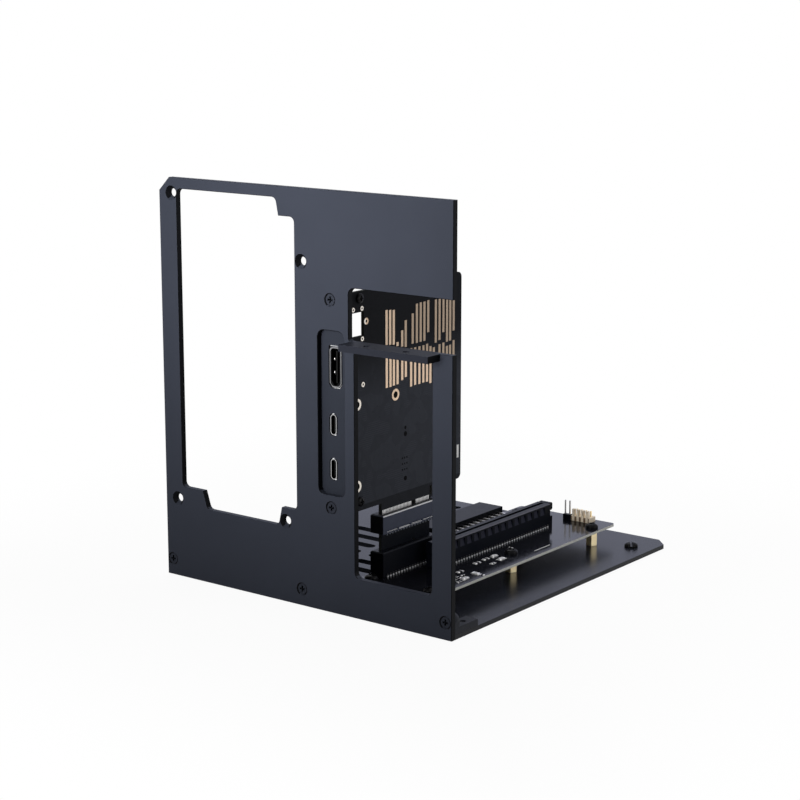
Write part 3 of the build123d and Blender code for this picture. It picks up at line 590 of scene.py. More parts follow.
@dataclass(frozen=True)
class RimFinish:
    """A plated port shell: its plating shows in a line round its mouth and again well behind the panel, with painted
    shade inside.
    """

    name: str
    port: Port
    colour: Triple
    inside: Triple = (0.012, 0.012, 0.013)
    line: float = 0.55
    line_beyond: float = 0.2
    front_limit: float = 0.5
    roughness: float = 0.32
    dark_depth: Span = (3.0, 5.0)
    streak: Triple = (0.2, 3.0, 0.2)
    streak_per_mm: float = 4.0
    streak_spread: float = 0.15
    streak_rough: float = 0.2
    streak_depth: float = 0.003

    def build(self) -> Material:
        """Makes the material.

        Returns:
            The new material.
        """
        recipe = Recipe.named(self.name)
        place = recipe.place()
        edge = self.port.beyond(recipe)
        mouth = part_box("front_panel")[1].y / MM
        depth = recipe.axes(place)[1] - mouth
        rim = recipe.looks(Direction.FRONT, self.front_limit) * (edge > -self.line) * (edge < self.line_beyond)
        streak = recipe.noise(recipe.stretched(place, self.streak), self.streak_per_mm, FINE_NOISE)
        tone = recipe.mottled(streak, self.colour, self.streak_spread)
        # Painted shade inside the shell, except on the rim line and the part well behind the panel.
        tone = recipe.mix(rim | depth.between(*self.dark_depth), self.inside, tone)
        rough = self.roughness + streak.swing(self.streak_rough)
        return recipe.surface(tone, rough, recipe.bump(streak, self.streak_depth), metallic=1.0)


@dataclass(frozen=True)
class PostFinish:
    """Cream nylon of a connector, with painted brown shade between the posts along its front."""

    name: str
    colour: Triple
    shaded_gap: Triple
    node: str
    ways: int
    post: float
    roughness: float = 0.4
    grain_per_mm: float = 5.0
    grain_spread: float = 0.06
    grain_rough: float = 0.16
    grain_depth: float = 0.004

    def build(self) -> Material:
        """Makes the material.

        Returns:
            The new material.
        """
        recipe = Recipe.named(self.name)
        place = recipe.place()
        low, high = (end.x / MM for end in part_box(self.node))
        pitch = (high - low) / self.ways
        across = (recipe.axes(place)[0] - low) % pitch
        # Painted shade between the posts.
        between = (abs(across - pitch / 2) > self.post / 2) * recipe.looks(Direction.FRONT)
        grain = recipe.noise(place, self.grain_per_mm)
        tone = recipe.mix(between, recipe.mottled(grain, self.colour, self.grain_spread), self.shaded_gap)
        rough = self.roughness + grain.swing(self.grain_rough)
        return recipe.surface(tone, rough, recipe.bump(grain, self.grain_depth))


class Palette(Enum):
    """Every finish on the dock."""

    # The cut tones paint shade on cut sides; the bracket's also paints a shadow round each port's mouth.
    PANEL = CoatFinish("slate_coat", (0.039, 0.044, 0.06), 0.5, 0.05, cut_shade_tone=0.06)
    BRACKET = CoatFinish("bracket_coat", (0.029, 0.033, 0.045), 0.5, 0.05, cut_shade_tone=0.1, ports=tuple(Port))
    LEDGE = CoatFinish("ledge_coat", (0.023, 0.0252, 0.0345), 0.5, 0.04, cut_shade_tone=0.1, cut_limit=0.5)
    SLATE_SCREW = CoatFinish("slate_oxide", (0.032, 0.036, 0.049), 0.5, 0.05, 4.0, 0.004, cut_shade_tone=0.06)
    BASE = CoatFinish("black_coat", (0.011, 0.0128, 0.0195), 0.24, 0.105, 3.6, 0.002, cut_shade_tone=0.5)
    ANGLE = CoatFinish("angle_coat", (0.014, 0.0158, 0.0215), 0.42, 0.07)
    BOARD = BoardFinish(
        "board_mask", (0.005, 0.0055, 0.0085), (0.62, 0.62, 0.58), BoardPlane.LEVEL, 0.12, 0.2, relief=0.001
    )
    # The card gets painted shade from 88 mm upwards.
    CARD = BoardFinish(
        "card_mask", (0.0335, 0.0365, 0.046), (0.05, 0.05, 0.045), BoardPlane.UPRIGHT, 0.42, 0.03, 45.4, (88.0, 118.0)
    )
    RISER = BoardFinish("riser_mask", (0.003, 0.004, 0.0065), (0.05, 0.05, 0.045), BoardPlane.UPRIGHT, 0.42, 0.04)
    SLOT = MouldedFinish("slot_resin", (0.004, 0.0048, 0.0075), 0.34, 0.045)
    # Painted highlight on the pocket ramps and along the top edge.
    LONG_SLOT = MouldedFinish(
        "long_slot_resin", (0.003, 0.004, 0.0075), 0.34, 0.045,
        ((Direction.RIGHT_RAMP, 0.992, (0.014, 0.015, 0.028)), (Direction.UP_RIGHT, 0.85, (0.1, 0.1, 0.125))),
    )
    # Painted highlight along the top edge, and painted shade on the front and top faces.
    CARD_SLOT = MouldedFinish(
        "card_slot_resin", (0.046, 0.0535, 0.082), 0.42, 0.1,
        ((Direction.UP_RIGHT, 0.85, (0.75, 0.75, 0.77)), (Direction.FRONT, 0.85, (0.004, 0.004, 0.005)),
         (Direction.UP, 0.85, (0.008, 0.008, 0.01))),
    )
    PORT = MouldedFinish("port_resin", (0.004, 0.004, 0.004), 0.5, 0.08)
    CHIP = MouldedFinish("chip_epoxy", (0.014, 0.014, 0.015), 0.5)
    # Cream nylon with painted shade between its posts.
    CREAM = PostFinish("cream_nylon", (0.86, 0.74, 0.57), (0.2, 0.13, 0.075), "fan_connector", 4, 1.4)
    SCREW = MetalFinish("black_oxide", (0.005, 0.005, 0.006), 0.26, metallic=0.0, specular=0.07)
    BRASS = MetalFinish("turned_brass", (1.0, 0.8, 0.5), 0.42, (0.1, 0.1, 4.0))
    TIN = MetalFinish("tinned_lead", (0.72, 0.71, 0.7), 0.34)
    # Painted shade above 11.15 mm, so only the feet of the contact tails are bright.
    TAIL = MetalFinish("bright_tail", (0.93, 0.94, 0.97), 0.36, metallic=0.3, lit_below=11.15)
    # Painted shade: the card slot's contact tails are darkened as they lie in shadow under its housing.
    DULL = MetalFinish("shaded_lead", (0.1, 0.11, 0.13), 0.45, metallic=0.6)
    PALE = MetalFinish("pale_plate", (1.0, 0.99, 0.97), 0.38, metallic=0.25)
    GOLD = MetalFinish("gold_plate", (0.7, 0.55, 0.36), 0.36)
    # Bare copper with a painted highlight on its front rings and a painted shadow above a slanted line.
    BARS = MetalFinish(
        "bare_copper", (0.8, 0.59, 0.41), 0.4, (0.3, 2.0, 0.3), 0.1, 0.5, highlight_before=-67.3, shadow_over=(95.0, 101.0)
    )
    STEEL = MetalFinish("spring_steel", (0.8, 0.8, 0.8), 0.25, (0.2, 0.2, 3.0))
    # Port shells with painted shade inside.
    VIDEO_RIM = RimFinish("video_rim", Port.VIDEO, (0.24, 0.24, 0.25), line=0.42)
    UPPER_RIM = RimFinish("upper_rim", Port.DATA_UPPER, (0.42, 0.42, 0.43))
    LOWER_RIM = RimFinish("lower_rim", Port.DATA_LOWER, (0.42, 0.42, 0.43))
    SINK = CoatFinish("sink_anodised", (0.016, 0.016, 0.018), 0.42, 0.4, 4.0, 0.006)
    PRINT = MouldedFinish("white_print", (0.8, 0.8, 0.79), 0.6, 0.2)
    VIA = MouldedFinish("filled_via", (0.001, 0.001, 0.0015), 0.5, 0.02)
    CERAMIC = MouldedFinish("chip_ceramic", (0.72, 0.71, 0.72), 0.5)
    FERRITE = MouldedFinish("ferrite", (0.05, 0.05, 0.052), 0.6)

    def made(self) -> Material:
        """The finish's material, made on first use."""
        return bpy.data.materials.get(self.value.name) or self.value.build()


def dress(node: str, finish: Palette, bevel_mm: float = 0.0) -> None:
    """Gives a CAD node its finish and, if asked, softened edges.

    Args:
        node: The node's name.
        finish: Its finish.
        bevel_mm: Width of the edge bevel, or 0 for none.
    """
    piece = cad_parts[node]
    piece.data.materials.clear()
    piece.data.materials.append(finish.made())
    if bevel_mm > 0:
        weld = piece.modifiers.new("weld", "WELD")
        weld.merge_threshold = WELD_GAP
        flat = piece.modifiers.new("flat", "DECIMATE")
        flat.decimate_type = "DISSOLVE"
        flat.angle_limit = FLAT_ANGLE
        bevel = piece.modifiers.new("edge", "BEVEL")
        bevel.width = bevel_mm * MM
        bevel.segments = EDGE_SEGMENTS
        bevel.limit_method = "ANGLE"
        bevel.angle_limit = EDGE_ANGLE
        bevel.harden_normals = True
    LOG.info("dressed %s with %s", node, finish.value.name)


def solid_boxes(node: str) -> list[tuple[Vector, Vector]]:
    """Boxes of a node's separate solids.

    Args:
        node: The node's name.

    Returns:
        The lowest and highest corner of each solid.
    """
    mesh = bmesh.new()
    mesh.from_mesh(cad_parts[node].data)
    bmesh.ops.remove_doubles(mesh, verts=mesh.verts, dist=SAME_POINT)
    mesh.verts.ensure_lookup_table()
    seen: set[int] = set()
    boxes = []
    for start in mesh.verts:
        if start.index in seen:
            continue
        stack, island = [start], []
        seen.add(start.index)
        while stack:
            vert = stack.pop()
            island.append(vert.co.copy())
            for edge in vert.link_edges:
                other = edge.other_vert(vert)
                if other.index not in seen:
                    seen.add(other.index)
                    stack.append(other)
        low = Vector(min(point[axis] for point in island) for axis in range(3))
        high = Vector(max(point[axis] for point in island) for axis in range(3))
        boxes.append((low, high))
    mesh.free()
    return boxes


def turned_to(direction: Direction) -> Matrix:
    """The turn that points +Z in a direction."""
    return Vector((0, 0, 1)).rotation_difference(Vector(direction.value)).to_matrix().to_4x4()


def both_sides(near: float, far: float) -> tuple[Span, Span]:
    """A span on both sides of zero, the negative side first."""
    return (-far, -near), (near, far)


def as_mesh(name: str, source: Solid) -> bpy.types.Mesh:
    """Turns a working mesh, which is used up, into mesh data.

    Args:
        name: Name of the mesh data.
        source: The working mesh.

    Returns:
        The mesh data.
    """
    data = bpy.data.meshes.new(name)
    source.to_mesh(data)
    source.free()
    return data


def linked(name: str, data: bpy.types.ID) -> bpy.types.Object:
    """Puts a new object into the scene.

    Args:
        name: The object's name.
        data: Its mesh, lamp or camera.

    Returns:
        The new object.
    """
    item = bpy.data.objects.new(name, data)
    bpy.context.scene.collection.objects.link(item)
    return item


def bridge(mesh: Solid, rings: Sequence[Sequence[bmesh.types.BMVert]]) -> None:
    """Closes a stack of rings into a solid.

    Args:
        mesh: The mesh that holds the rings.
        rings: The rings from top to bottom, each with as many points.
    """
    mesh.faces.new(rings[0])
    mesh.faces.new(list(reversed(rings[-1])))
    count = len(rings[0])
    for upper, lower in zip(rings, rings[1:]):
        for step in range(count):
            after = (step + 1) % count
            mesh.faces.new((upper[step], lower[step], lower[after], upper[after]))


@dataclass
class Bench:
    """A mesh in the making, with one material index for each finish."""

    name: str
    finishes: list[Palette] = field(default_factory=list)
    mesh: Solid = field(default_factory=bmesh.new)

    def take(self, part: Solid, place: Matrix, finish: Palette, smooth: bool = False) -> None:
        """Moves a finished shape into the mesh.

        Args:
            part: The shape, which is used up.
            place: Where it goes.
            finish: Its finish.
            smooth: Whether its faces are shaded as one curved surface.
        """
        if finish not in self.finishes:
            self.finishes.append(finish)
        index = self.finishes.index(finish)
        for face in part.faces:
            face.material_index = index
            face.smooth = smooth
        data = as_mesh("part_work", part)
        data.transform(place)
        self.mesh.from_mesh(data)
        bpy.data.meshes.remove(data)

    def block(self, low: Sequence[float], high: Sequence[float], finish: Palette, bevel: float, place: Matrix) -> None:
        """Adds a box with softened edges.

        Args:
            low: Lowest corner.
            high: Highest corner.
            finish: The box's finish.
            bevel: Width of the edge bevel, or 0 for none.
            place: Turns the corners' frame into the dock's.
        """
        low, high = Vector(low), Vector(high)
        part = bmesh.new()
        bmesh.ops.create_cube(part, size=1.0)
        bmesh.ops.scale(part, vec=high - low, verts=part.verts)
        bmesh.ops.translate(part, vec=(low + high) / 2, verts=part.verts)
        if bevel > 0:
            bmesh.ops.bevel(
                part, geom=part.edges[:], offset=bevel, segments=EDGE_SEGMENTS, affect="EDGES", profile=0.5
            )
        self.take(part, place, finish)

    def bar(
        self, half: float, along: Span, heights: Span, finish: Palette, place: Matrix, bevel: float = 0.0
    ) -> None:
        """Adds a box along the place's Y axis, with half its width on each side of it."""
        self.block((-half, along[0], heights[0]), (half, along[1], heights[1]), finish, bevel, place)

    def lathe(self, profile: Sequence[Span], finish: Palette, place: Matrix, steps: int = ROUND_SIDES) -> None:
        """Adds a round solid.

        Args:
            profile: Radius and height of each ring, from the top to the bottom.
            finish: The solid's finish.
            place: Where the solid stands, with its axis along +Z.
            steps: How many sides it has.
        """
        part = bmesh.new()
        turns = [2 * math.pi * step / steps for step in range(steps)]
        rings = [
            [part.verts.new((radius * math.cos(turn), radius * math.sin(turn), height)) for turn in turns]
            for radius, height in profile
        ]
        bridge(part, rings)
        self.take(part, place, finish, True)

    def finish(self, slot: str, replaces: Sequence[str] = ()) -> None:
        """Turns the mesh into a piece that rides on the dock.

        Args:
            slot: Not used.
            replaces: CAD nodes that the piece stands for.
        """
        bmesh.ops.recalc_face_normals(self.mesh, faces=self.mesh.faces)
        data = as_mesh(self.name, self.mesh)
        for finish in self.finishes:
            data.materials.append(finish.made())
        piece = linked(self.name, data)
        data.set_sharp_from_angle(angle=SHARP_ANGLE)
        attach(piece, BODY)
        if replaces:
            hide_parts(*replaces)
        LOG.info("built %s: %d faces", self.name, len(data.polygons))


@dataclass
class BoardFace:
    """A board's face that carries small parts; sizes on it are in millimetres and z points out of it."""

    bench: Bench
    corner: Vector
    right: Triple
    up: Triple
    out: Triple
    print_height: float = 0.02
    print_line: float = 0.22
    dot_top: float = 0.8
    pad_height: float = 0.06
    lead_rows: int = 4

    @property
    def place(self) -> Matrix:
        """Turns the face's millimetres into the dock's frame."""
        turn = Matrix((self.right, self.up, self.out)).transposed().to_4x4()
        return Matrix.Translation(self.corner) @ turn @ Matrix.Scale(MM, 4)

    def block(self, low: Triple, high: Triple, finish: Palette, bevel: float = 0.0) -> None:
        """Adds a box on the face."""
        self.bench.block(low, high, finish, bevel, self.place)

    def dot(self, x: float, y: float, radius: float, finish: Palette) -> None:
        """Adds a low round spot with a softened rim."""
        rings = [(radius * self.dot_top, self.print_height), (radius, self.print_height / 2), (radius, 0.0)]
        self.bench.lathe(rings, finish, self.place @ Matrix.Translation((x, y, 0.0)), SPOT_SIDES)

    def outline(self, x: float, y: float, width: float, height: float) -> None:
        """Adds a printed rectangle.

        Args:
            x: Its middle, to the right.
            y: Its middle, upwards.
            width: Its width over all.
            height: Its height over all.
        """
        line, thick = self.print_line, self.print_height
        left, right = x - width / 2, x + width / 2
        low, high = y - height / 2, y + height / 2
        for bottom in (low, high - line):
            self.block((left, bottom, 0.0), (right, bottom + line, thick), Palette.PRINT)
        for side in (left, right - line):
            self.block((side, low + line, 0.0), (side + line, high - line, thick), Palette.PRINT)

    def part(self, x: float, y: float, kind: SmallPart, turned: bool = False) -> None:
        """Adds a small part.

        Args:
            x: Its middle, to the right.
            y: Its middle, upwards.
            kind: What it is.
            turned: Whether its length runs to the right instead of upwards.
        """
        turn = Matrix.Rotation(math.pi / 2 if turned else 0.0, 4, "Z")
        local = self.place @ Matrix.Translation((x, y, 0.0)) @ turn
        if kind is SmallPart.COIL:
            self._coil(local, kind.value)
        elif kind is SmallPart.REGULATOR:
            self._regulator(local, kind.value)
        else:
            self._two_ended(local, kind)

    def _two_ended(self, local: Matrix, kind: SmallPart) -> None:
        """Adds a resistor or capacitor with tinned ends on tinned pads.

        Args:
            local: Where it lies, with its length along Y.
            kind: Which of the two it is.
        """
        width, length, height = kind.value
        body = Palette.CERAMIC if kind is SmallPart.CAPACITOR else Palette.CHIP
        cap, softened = length * 0.22, width * 0.07
        spill = cap * 0.7
        pad_half, body_half, body_height = width * 0.55, width * 0.47, height * 0.94
        inner, outer = length / 2 - cap, length / 2
        for end, pad in zip(both_sides(inner, outer), both_sides(inner, outer + spill)):
            self.bench.bar(width / 2, end, (0.0, height), Palette.TIN, local, softened)
            self.bench.bar(pad_half, pad, (0.0, self.pad_height), Palette.TIN, local)
        self.bench.bar(body_half, (-inner, inner), (0.0, body_height), body, local)

    def _coil(self, local: Matrix, size: Triple) -> None:
        """Adds a shielded coil on two tinned feet.

        Args:
            local: Where it stands.
            size: Its width, length and height.
        """
        width, length, height = size
        lift, softened, foot_half, foot_height = 0.15, width * 0.08, width * 0.3, 0.5
        foot_start, foot_end = length * 0.3, length / 2 + 0.25
        core, core_rim, core_step = width * 0.3, width * 0.34, 0.05
        ends = (-length / 2, length / 2)
        self.bench.bar(width / 2, ends, (lift, height), Palette.FERRITE, local, softened)
        rings = [(core, height + core_step), (core_rim, height - core_step), (core_rim, height / 2)]
        self.bench.lathe(rings, Palette.CHIP, local)
        for foot in both_sides(foot_start, foot_end):
            self.bench.bar(foot_half, foot, (0.0, foot_height), Palette.TIN, local, core_step)

    def _regulator(self, local: Matrix, size: Triple) -> None:
        """Adds a small chip with bent leads along two sides.

        Args:
            local: Where it stands.
            size: Its width, length and height.
        """
        width, length, height = size
        ends = (-length / 2, length / 2)
        lift, softened = height * 0.12, height * 0.1
        self.bench.bar(width / 2, ends, (lift, height), Palette.CHIP, local, softened)
        spot_place = local @ Matrix.Translation((-width * 0.32, length * 0.36, height))
        spot_rings = [(0.3, 0.01), (0.34, 0.0), (0.34, -0.05)]
        self.bench.lathe(spot_rings, Palette.FERRITE, spot_place, SPOT_SIDES)
        pitch = length / self.lead_rows
        half = pitch * 0.18
        bends = ((0.5, 0.58, 0.4, 0.55), (0.58, 0.64, 0.0, 0.55), (0.64, 0.76, 0.0, 0.14))
        for row in range(self.lead_rows):
            y = (row - (self.lead_rows - 1) / 2) * pitch
            for near, far, low, high in bends:
                for left, right in both_sides(width * near, width * far):
                    self.bench.block(
                        (left, y - half, height * low), (right, y + half, height * high), Palette.TIN, 0.0, local
                    )


@dataclass
class ScrewSet:
    """The screws of one CAD node, each with a recess in its head.

    Shank and lip are shares of the head's radius, dome and rim are shares of its height, and cross_levels has the size
    and height of a cross recess from its mouth to its floor, as shares of reach and depth.
    """

    node: str
    kind: HeadKind
    out: Direction
    head_height: float = 0.0
    finish: Palette = Palette.SCREW
    recess: Recess = Recess.CROSS
    recess_turn: float = 0.0
    shank: float = 0.5
    lip: float = 0.1
    dome_turns: Sequence[int] = (24, 42, 58, 74, 88)
    dome_share: float = 0.62
    rim_share: float = 0.8
    cross_levels: Sequence[Span] = ((1.15, 0.35), (1.0, 0.0), (0.62, -0.75), (0.12, -1.0))

    def build(self) -> None:
        """Makes the screws in place of the node's plain ones."""
        bench = Bench(self.node + "_detailed")
        axis = Vector(self.out.value)
        main = max(range(3), key=lambda part: abs(axis[part]))
        for low, high in solid_boxes(self.node):
            top = (low + high) / 2
            top[main] = high[main] if axis[main] > 0 else low[main]
            length = high[main] - low[main]
            radius = max(high[part] - low[part] for part in range(3) if part != main) / 2
            self._add(bench, Matrix.Translation(top) @ turned_to(self.out), radius, length)
        bench.finish("black_screw", [self.node])

    def _add(self, bench: Bench, place: Matrix, radius: float, length: float) -> None:
        """Adds one screw.

        Args:
            bench: The mesh that takes it.
            place: The middle of the head's top, with +Z outwards.
            radius: The head's radius.
            length: The screw's length over all.
        """
        plain = Bench("plain_screw")
        plain.lathe(self._profile(radius, length), self.finish, Matrix.Identity(4), HEAD_SIDES)
        tool = bmesh.new()
        shape = self._cross if self.recess is Recess.CROSS else self._slot
        shape(tool, *(radius * share for share in self.recess.value))
        bmesh.ops.rotate(tool, matrix=Matrix.Rotation(math.radians(self.recess_turn), 3, "Z"), verts=tool.verts)
        shaped = self._cut(plain.mesh, tool)
        part = bmesh.new()
        part.from_mesh(shaped)
        bpy.data.meshes.remove(shaped)
        bench.take(part, place, self.finish, True)

    def _profile(self, radius: float, length: float) -> list[Span]:
        """Lists the screw's rings.

        Args:
            radius: The head's radius.
            length: The screw's length over all.

        Returns:
            Radius and height of each ring, from the head down.
        """
        shank, lip, crown = radius * self.shank, radius * self.lip, self.head_height
        if self.kind is HeadKind.COUNTERSUNK:
            cone = [(radius - lip, 0.0), (radius, -lip), (shank, -(radius - shank) - lip)]
            return cone + [(shank, -length + lip), (shank - lip, -length)]
        turns = [math.radians(turn) for turn in self.dome_turns]
        dome = [(radius * math.sin(turn), -crown * self.dome_share * (1 - math.cos(turn))) for turn in turns]
        return dome + [(radius, -crown * self.rim_share), (radius, -crown), (shank, -crown), (shank, -length)]

    @staticmethod
    def _slot(mesh: Solid, reach: float, half: float, depth: float) -> None:
        """Adds the straight slot that is cut across a head, as high above it as it is deep."""
        bmesh.ops.create_cube(mesh, size=2.0)
        bmesh.ops.scale(mesh, vec=(reach, half, depth), verts=mesh.verts)

    def _cross(self, mesh: Solid, reach: float, half: float, depth: float) -> None:
        """Adds the tapered cross that is cut out of a head.

        Args:
            mesh: The mesh that takes it.
            reach: Length of each arm from the middle.
            half: Half an arm's width.
            depth: Depth of the recess.
        """
        outline = []
        for quarter in range(4):
            turn = Matrix.Rotation(quarter * math.pi / 2, 4, "Z")
            for x, y in ((reach, -half), (reach, half), (half, half)):
                outline.append(turn @ Vector((x, y, 0)))
        rings = [
            [mesh.verts.new((point.x * size, point.y * size, depth * height)) for point in outline]
            for size, height in self.cross_levels
        ]
        bridge(mesh, rings)

    @staticmethod
    def _cut(plain: Solid, tool: Solid) -> bpy.types.Mesh:
        """Cuts one mesh out of another.

        Args:
            plain: What is cut.
            tool: What is taken away.

        Returns:
            The mesh that is left.
        """
        pair = []
        for source in (plain, tool):
            bmesh.ops.recalc_face_normals(source, faces=source.faces)
            pair.append(linked("cut_work", as_mesh("cut_work", source)))
        cut = pair[0].modifiers.new("recess", "BOOLEAN")
        cut.operation = "DIFFERENCE"
        cut.solver = "EXACT"
        cut.object = pair[1]
        graph = bpy.context.evaluated_depsgraph_get()
        left = bpy.data.meshes.new_from_object(pair[0].evaluated_get(graph))
        for item in pair:
            data = item.data
            bpy.data.objects.remove(item)
            bpy.data.meshes.remove(data)
        return left


@dataclass
class Chassis:
    """Front panel, ledge, base plate and the angles between them."""

    plate_bevel: float = 0.2
    rear_head_height: float = 2.4 * MM
    rear_slot_turn: float = 128.0

    def build(self) -> None:
        """Dresses the sheet metal and makes its screws."""
        dress("front_panel", Palette.PANEL)
        dress("bracket_ledge", Palette.LEDGE, self.plate_bevel)
        dress("base_plate", Palette.BASE, self.plate_bevel)
        for side in ("left", "middle", "right"):
            dress("corner_angle_" + side, Palette.ANGLE, self.plate_bevel)
        ScrewSet("panel_screws", HeadKind.COUNTERSUNK, Direction.FRONT, finish=Palette.SLATE_SCREW).build()
        ScrewSet("base_screws", HeadKind.COUNTERSUNK, Direction.DOWN).build()
        ScrewSet(
            "rear_screws", HeadKind.PAN, Direction.UP, self.rear_head_height,
            recess=Recess.SLOT, recess_turn=self.rear_slot_turn,
        ).build()


@dataclass
class MainBoard:
    """The level board with its posts, slots, connectors and small parts.

    Places of small parts are given in millimetres in from the board's right edge and back from its front edge, outlines
    with their width and length. Finishes come with the width of the edge bevel in millimetres.
    """

    screw_head_height: float = 2.3 * MM
    spring_pitch: float = 1.0 * MM
    spring_width: float = 0.55 * MM
    spring_thickness: float = 0.22 * MM
    spring_depth: Span = (6.8 * MM, 1.1 * MM)
    spring_gap: Span = (12.6 * MM, 14.8 * MM)
    slot_half_width: float = 0.95 * MM
    slot_end: float = 3.0 * MM
    parts: tuple[tuple[float, float, SmallPart, bool], ...] = (
        (14.3, 51.7, SmallPart.RESISTOR, False), (14.7, 58.9, SmallPart.RESISTOR, False),
        (14.3, 65.0, SmallPart.CAPACITOR, False), (9.2, 63.6, SmallPart.CAPACITOR, False),
        (16.0, 80.9, SmallPart.SPECK, True), (8.3, 55.6, SmallPart.SPECK, False),
        (5.3, 38.1, SmallPart.CAPACITOR, True), (1.9, 38.3, SmallPart.SPECK, True),
        (8.5, 32.6, SmallPart.SPECK, False), (12.6, 36.2, SmallPart.RESISTOR, False),
        (4.7, 29.2, SmallPart.CAPACITOR, False), (7.6, 29.0, SmallPart.SPECK, True),
        (3.9, 23.6, SmallPart.SPECK, False),
    )
    outlines: tuple[tuple[float, float, float, float], ...] = (
        (5.3, 27.0, 3.6, 6.4), (9.6, 27.4, 2.4, 4.6), (9.2, 63.6, 2.6, 5.0), (8.3, 55.6, 2.0, 3.4),
        (4.6, 89.8, 0.5, 12.6),
    )
    finishes: tuple[tuple[str, Palette, float], ...] = (
        ("main_board", Palette.BOARD, 0.06), ("riser_board", Palette.RISER, 0.08),
        ("board_standoffs", Palette.BRASS, 0.12), ("graphics_slot_housing", Palette.LONG_SLOT, 0.17),
        ("riser_slot_housing", Palette.SLOT, 0.12), ("card_slot_housing", Palette.CARD_SLOT, 0.4),
        ("graphics_slot_latch", Palette.SLOT, 0.12), ("power_header", Palette.SLOT, 0.12),
        ("switch_header", Palette.SLOT, 0.12), ("fan_connector", Palette.CREAM, 0.12),
        ("fan_connector_pins", Palette.BRASS, 0.0), ("graphics_slot_contacts", Palette.TAIL, 0.0),
        ("riser_slot_contacts", Palette.TAIL, 0.0), ("card_slot_contacts", Palette.DULL, 0.0),
        ("power_header_leads", Palette.TIN, 0.0), ("switch_header_pins", Palette.TIN, 0.0),
    )

    def build(self) -> None:
        """Dresses the board's nodes and adds its small parts."""
        for node, finish, bevel in self.finishes:
            dress(node, finish, bevel)
        ScrewSet("board_screws", HeadKind.PAN, Direction.UP, self.screw_head_height).build()
        self._springs()
        self._small_parts()

    def _springs(self) -> None:
        """Adds the contact springs inside the long slot."""
        low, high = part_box("graphics_slot_housing")
        middle = (low.x + high.x) / 2
        bench = Bench("slot_springs")
        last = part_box("graphics_slot_contacts")[1].y
        count = int((last - low.y - self.slot_end) / self.spring_pitch)
        for step in range(count):
            y = low.y + self.slot_end + step * self.spring_pitch
            if self.spring_gap[0] < y - low.y < self.spring_gap[1]:
                continue
            for near, far in both_sides(self.slot_half_width - self.spring_thickness, self.slot_half_width):
                bench.block(
                    (middle + near, y - self.spring_width / 2, high.z - self.spring_depth[0]),
                    (middle + far, y + self.spring_width / 2, high.z - self.spring_depth[1]),
                    Palette.GOLD, 0.0, Matrix.Identity(4),
                )
        bench.finish("gold_contact")

    def _small_parts(self) -> None:
        """Adds the small parts and printed outlines beside the long slot."""
        low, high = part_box("main_board")
        bench = Bench("board_small_parts")
        face = BoardFace(bench, Vector((high.x, low.y, high.z)), (1, 0, 0), (0, 1, 0), (0, 0, 1))
        for inset, back, kind, turned in self.parts:
            face.part(-inset, back, kind, turned)
        for inset, back, width, length in self.outlines:
            face.outline(-inset, back, width, length)
        bench.finish("chip_plastic")


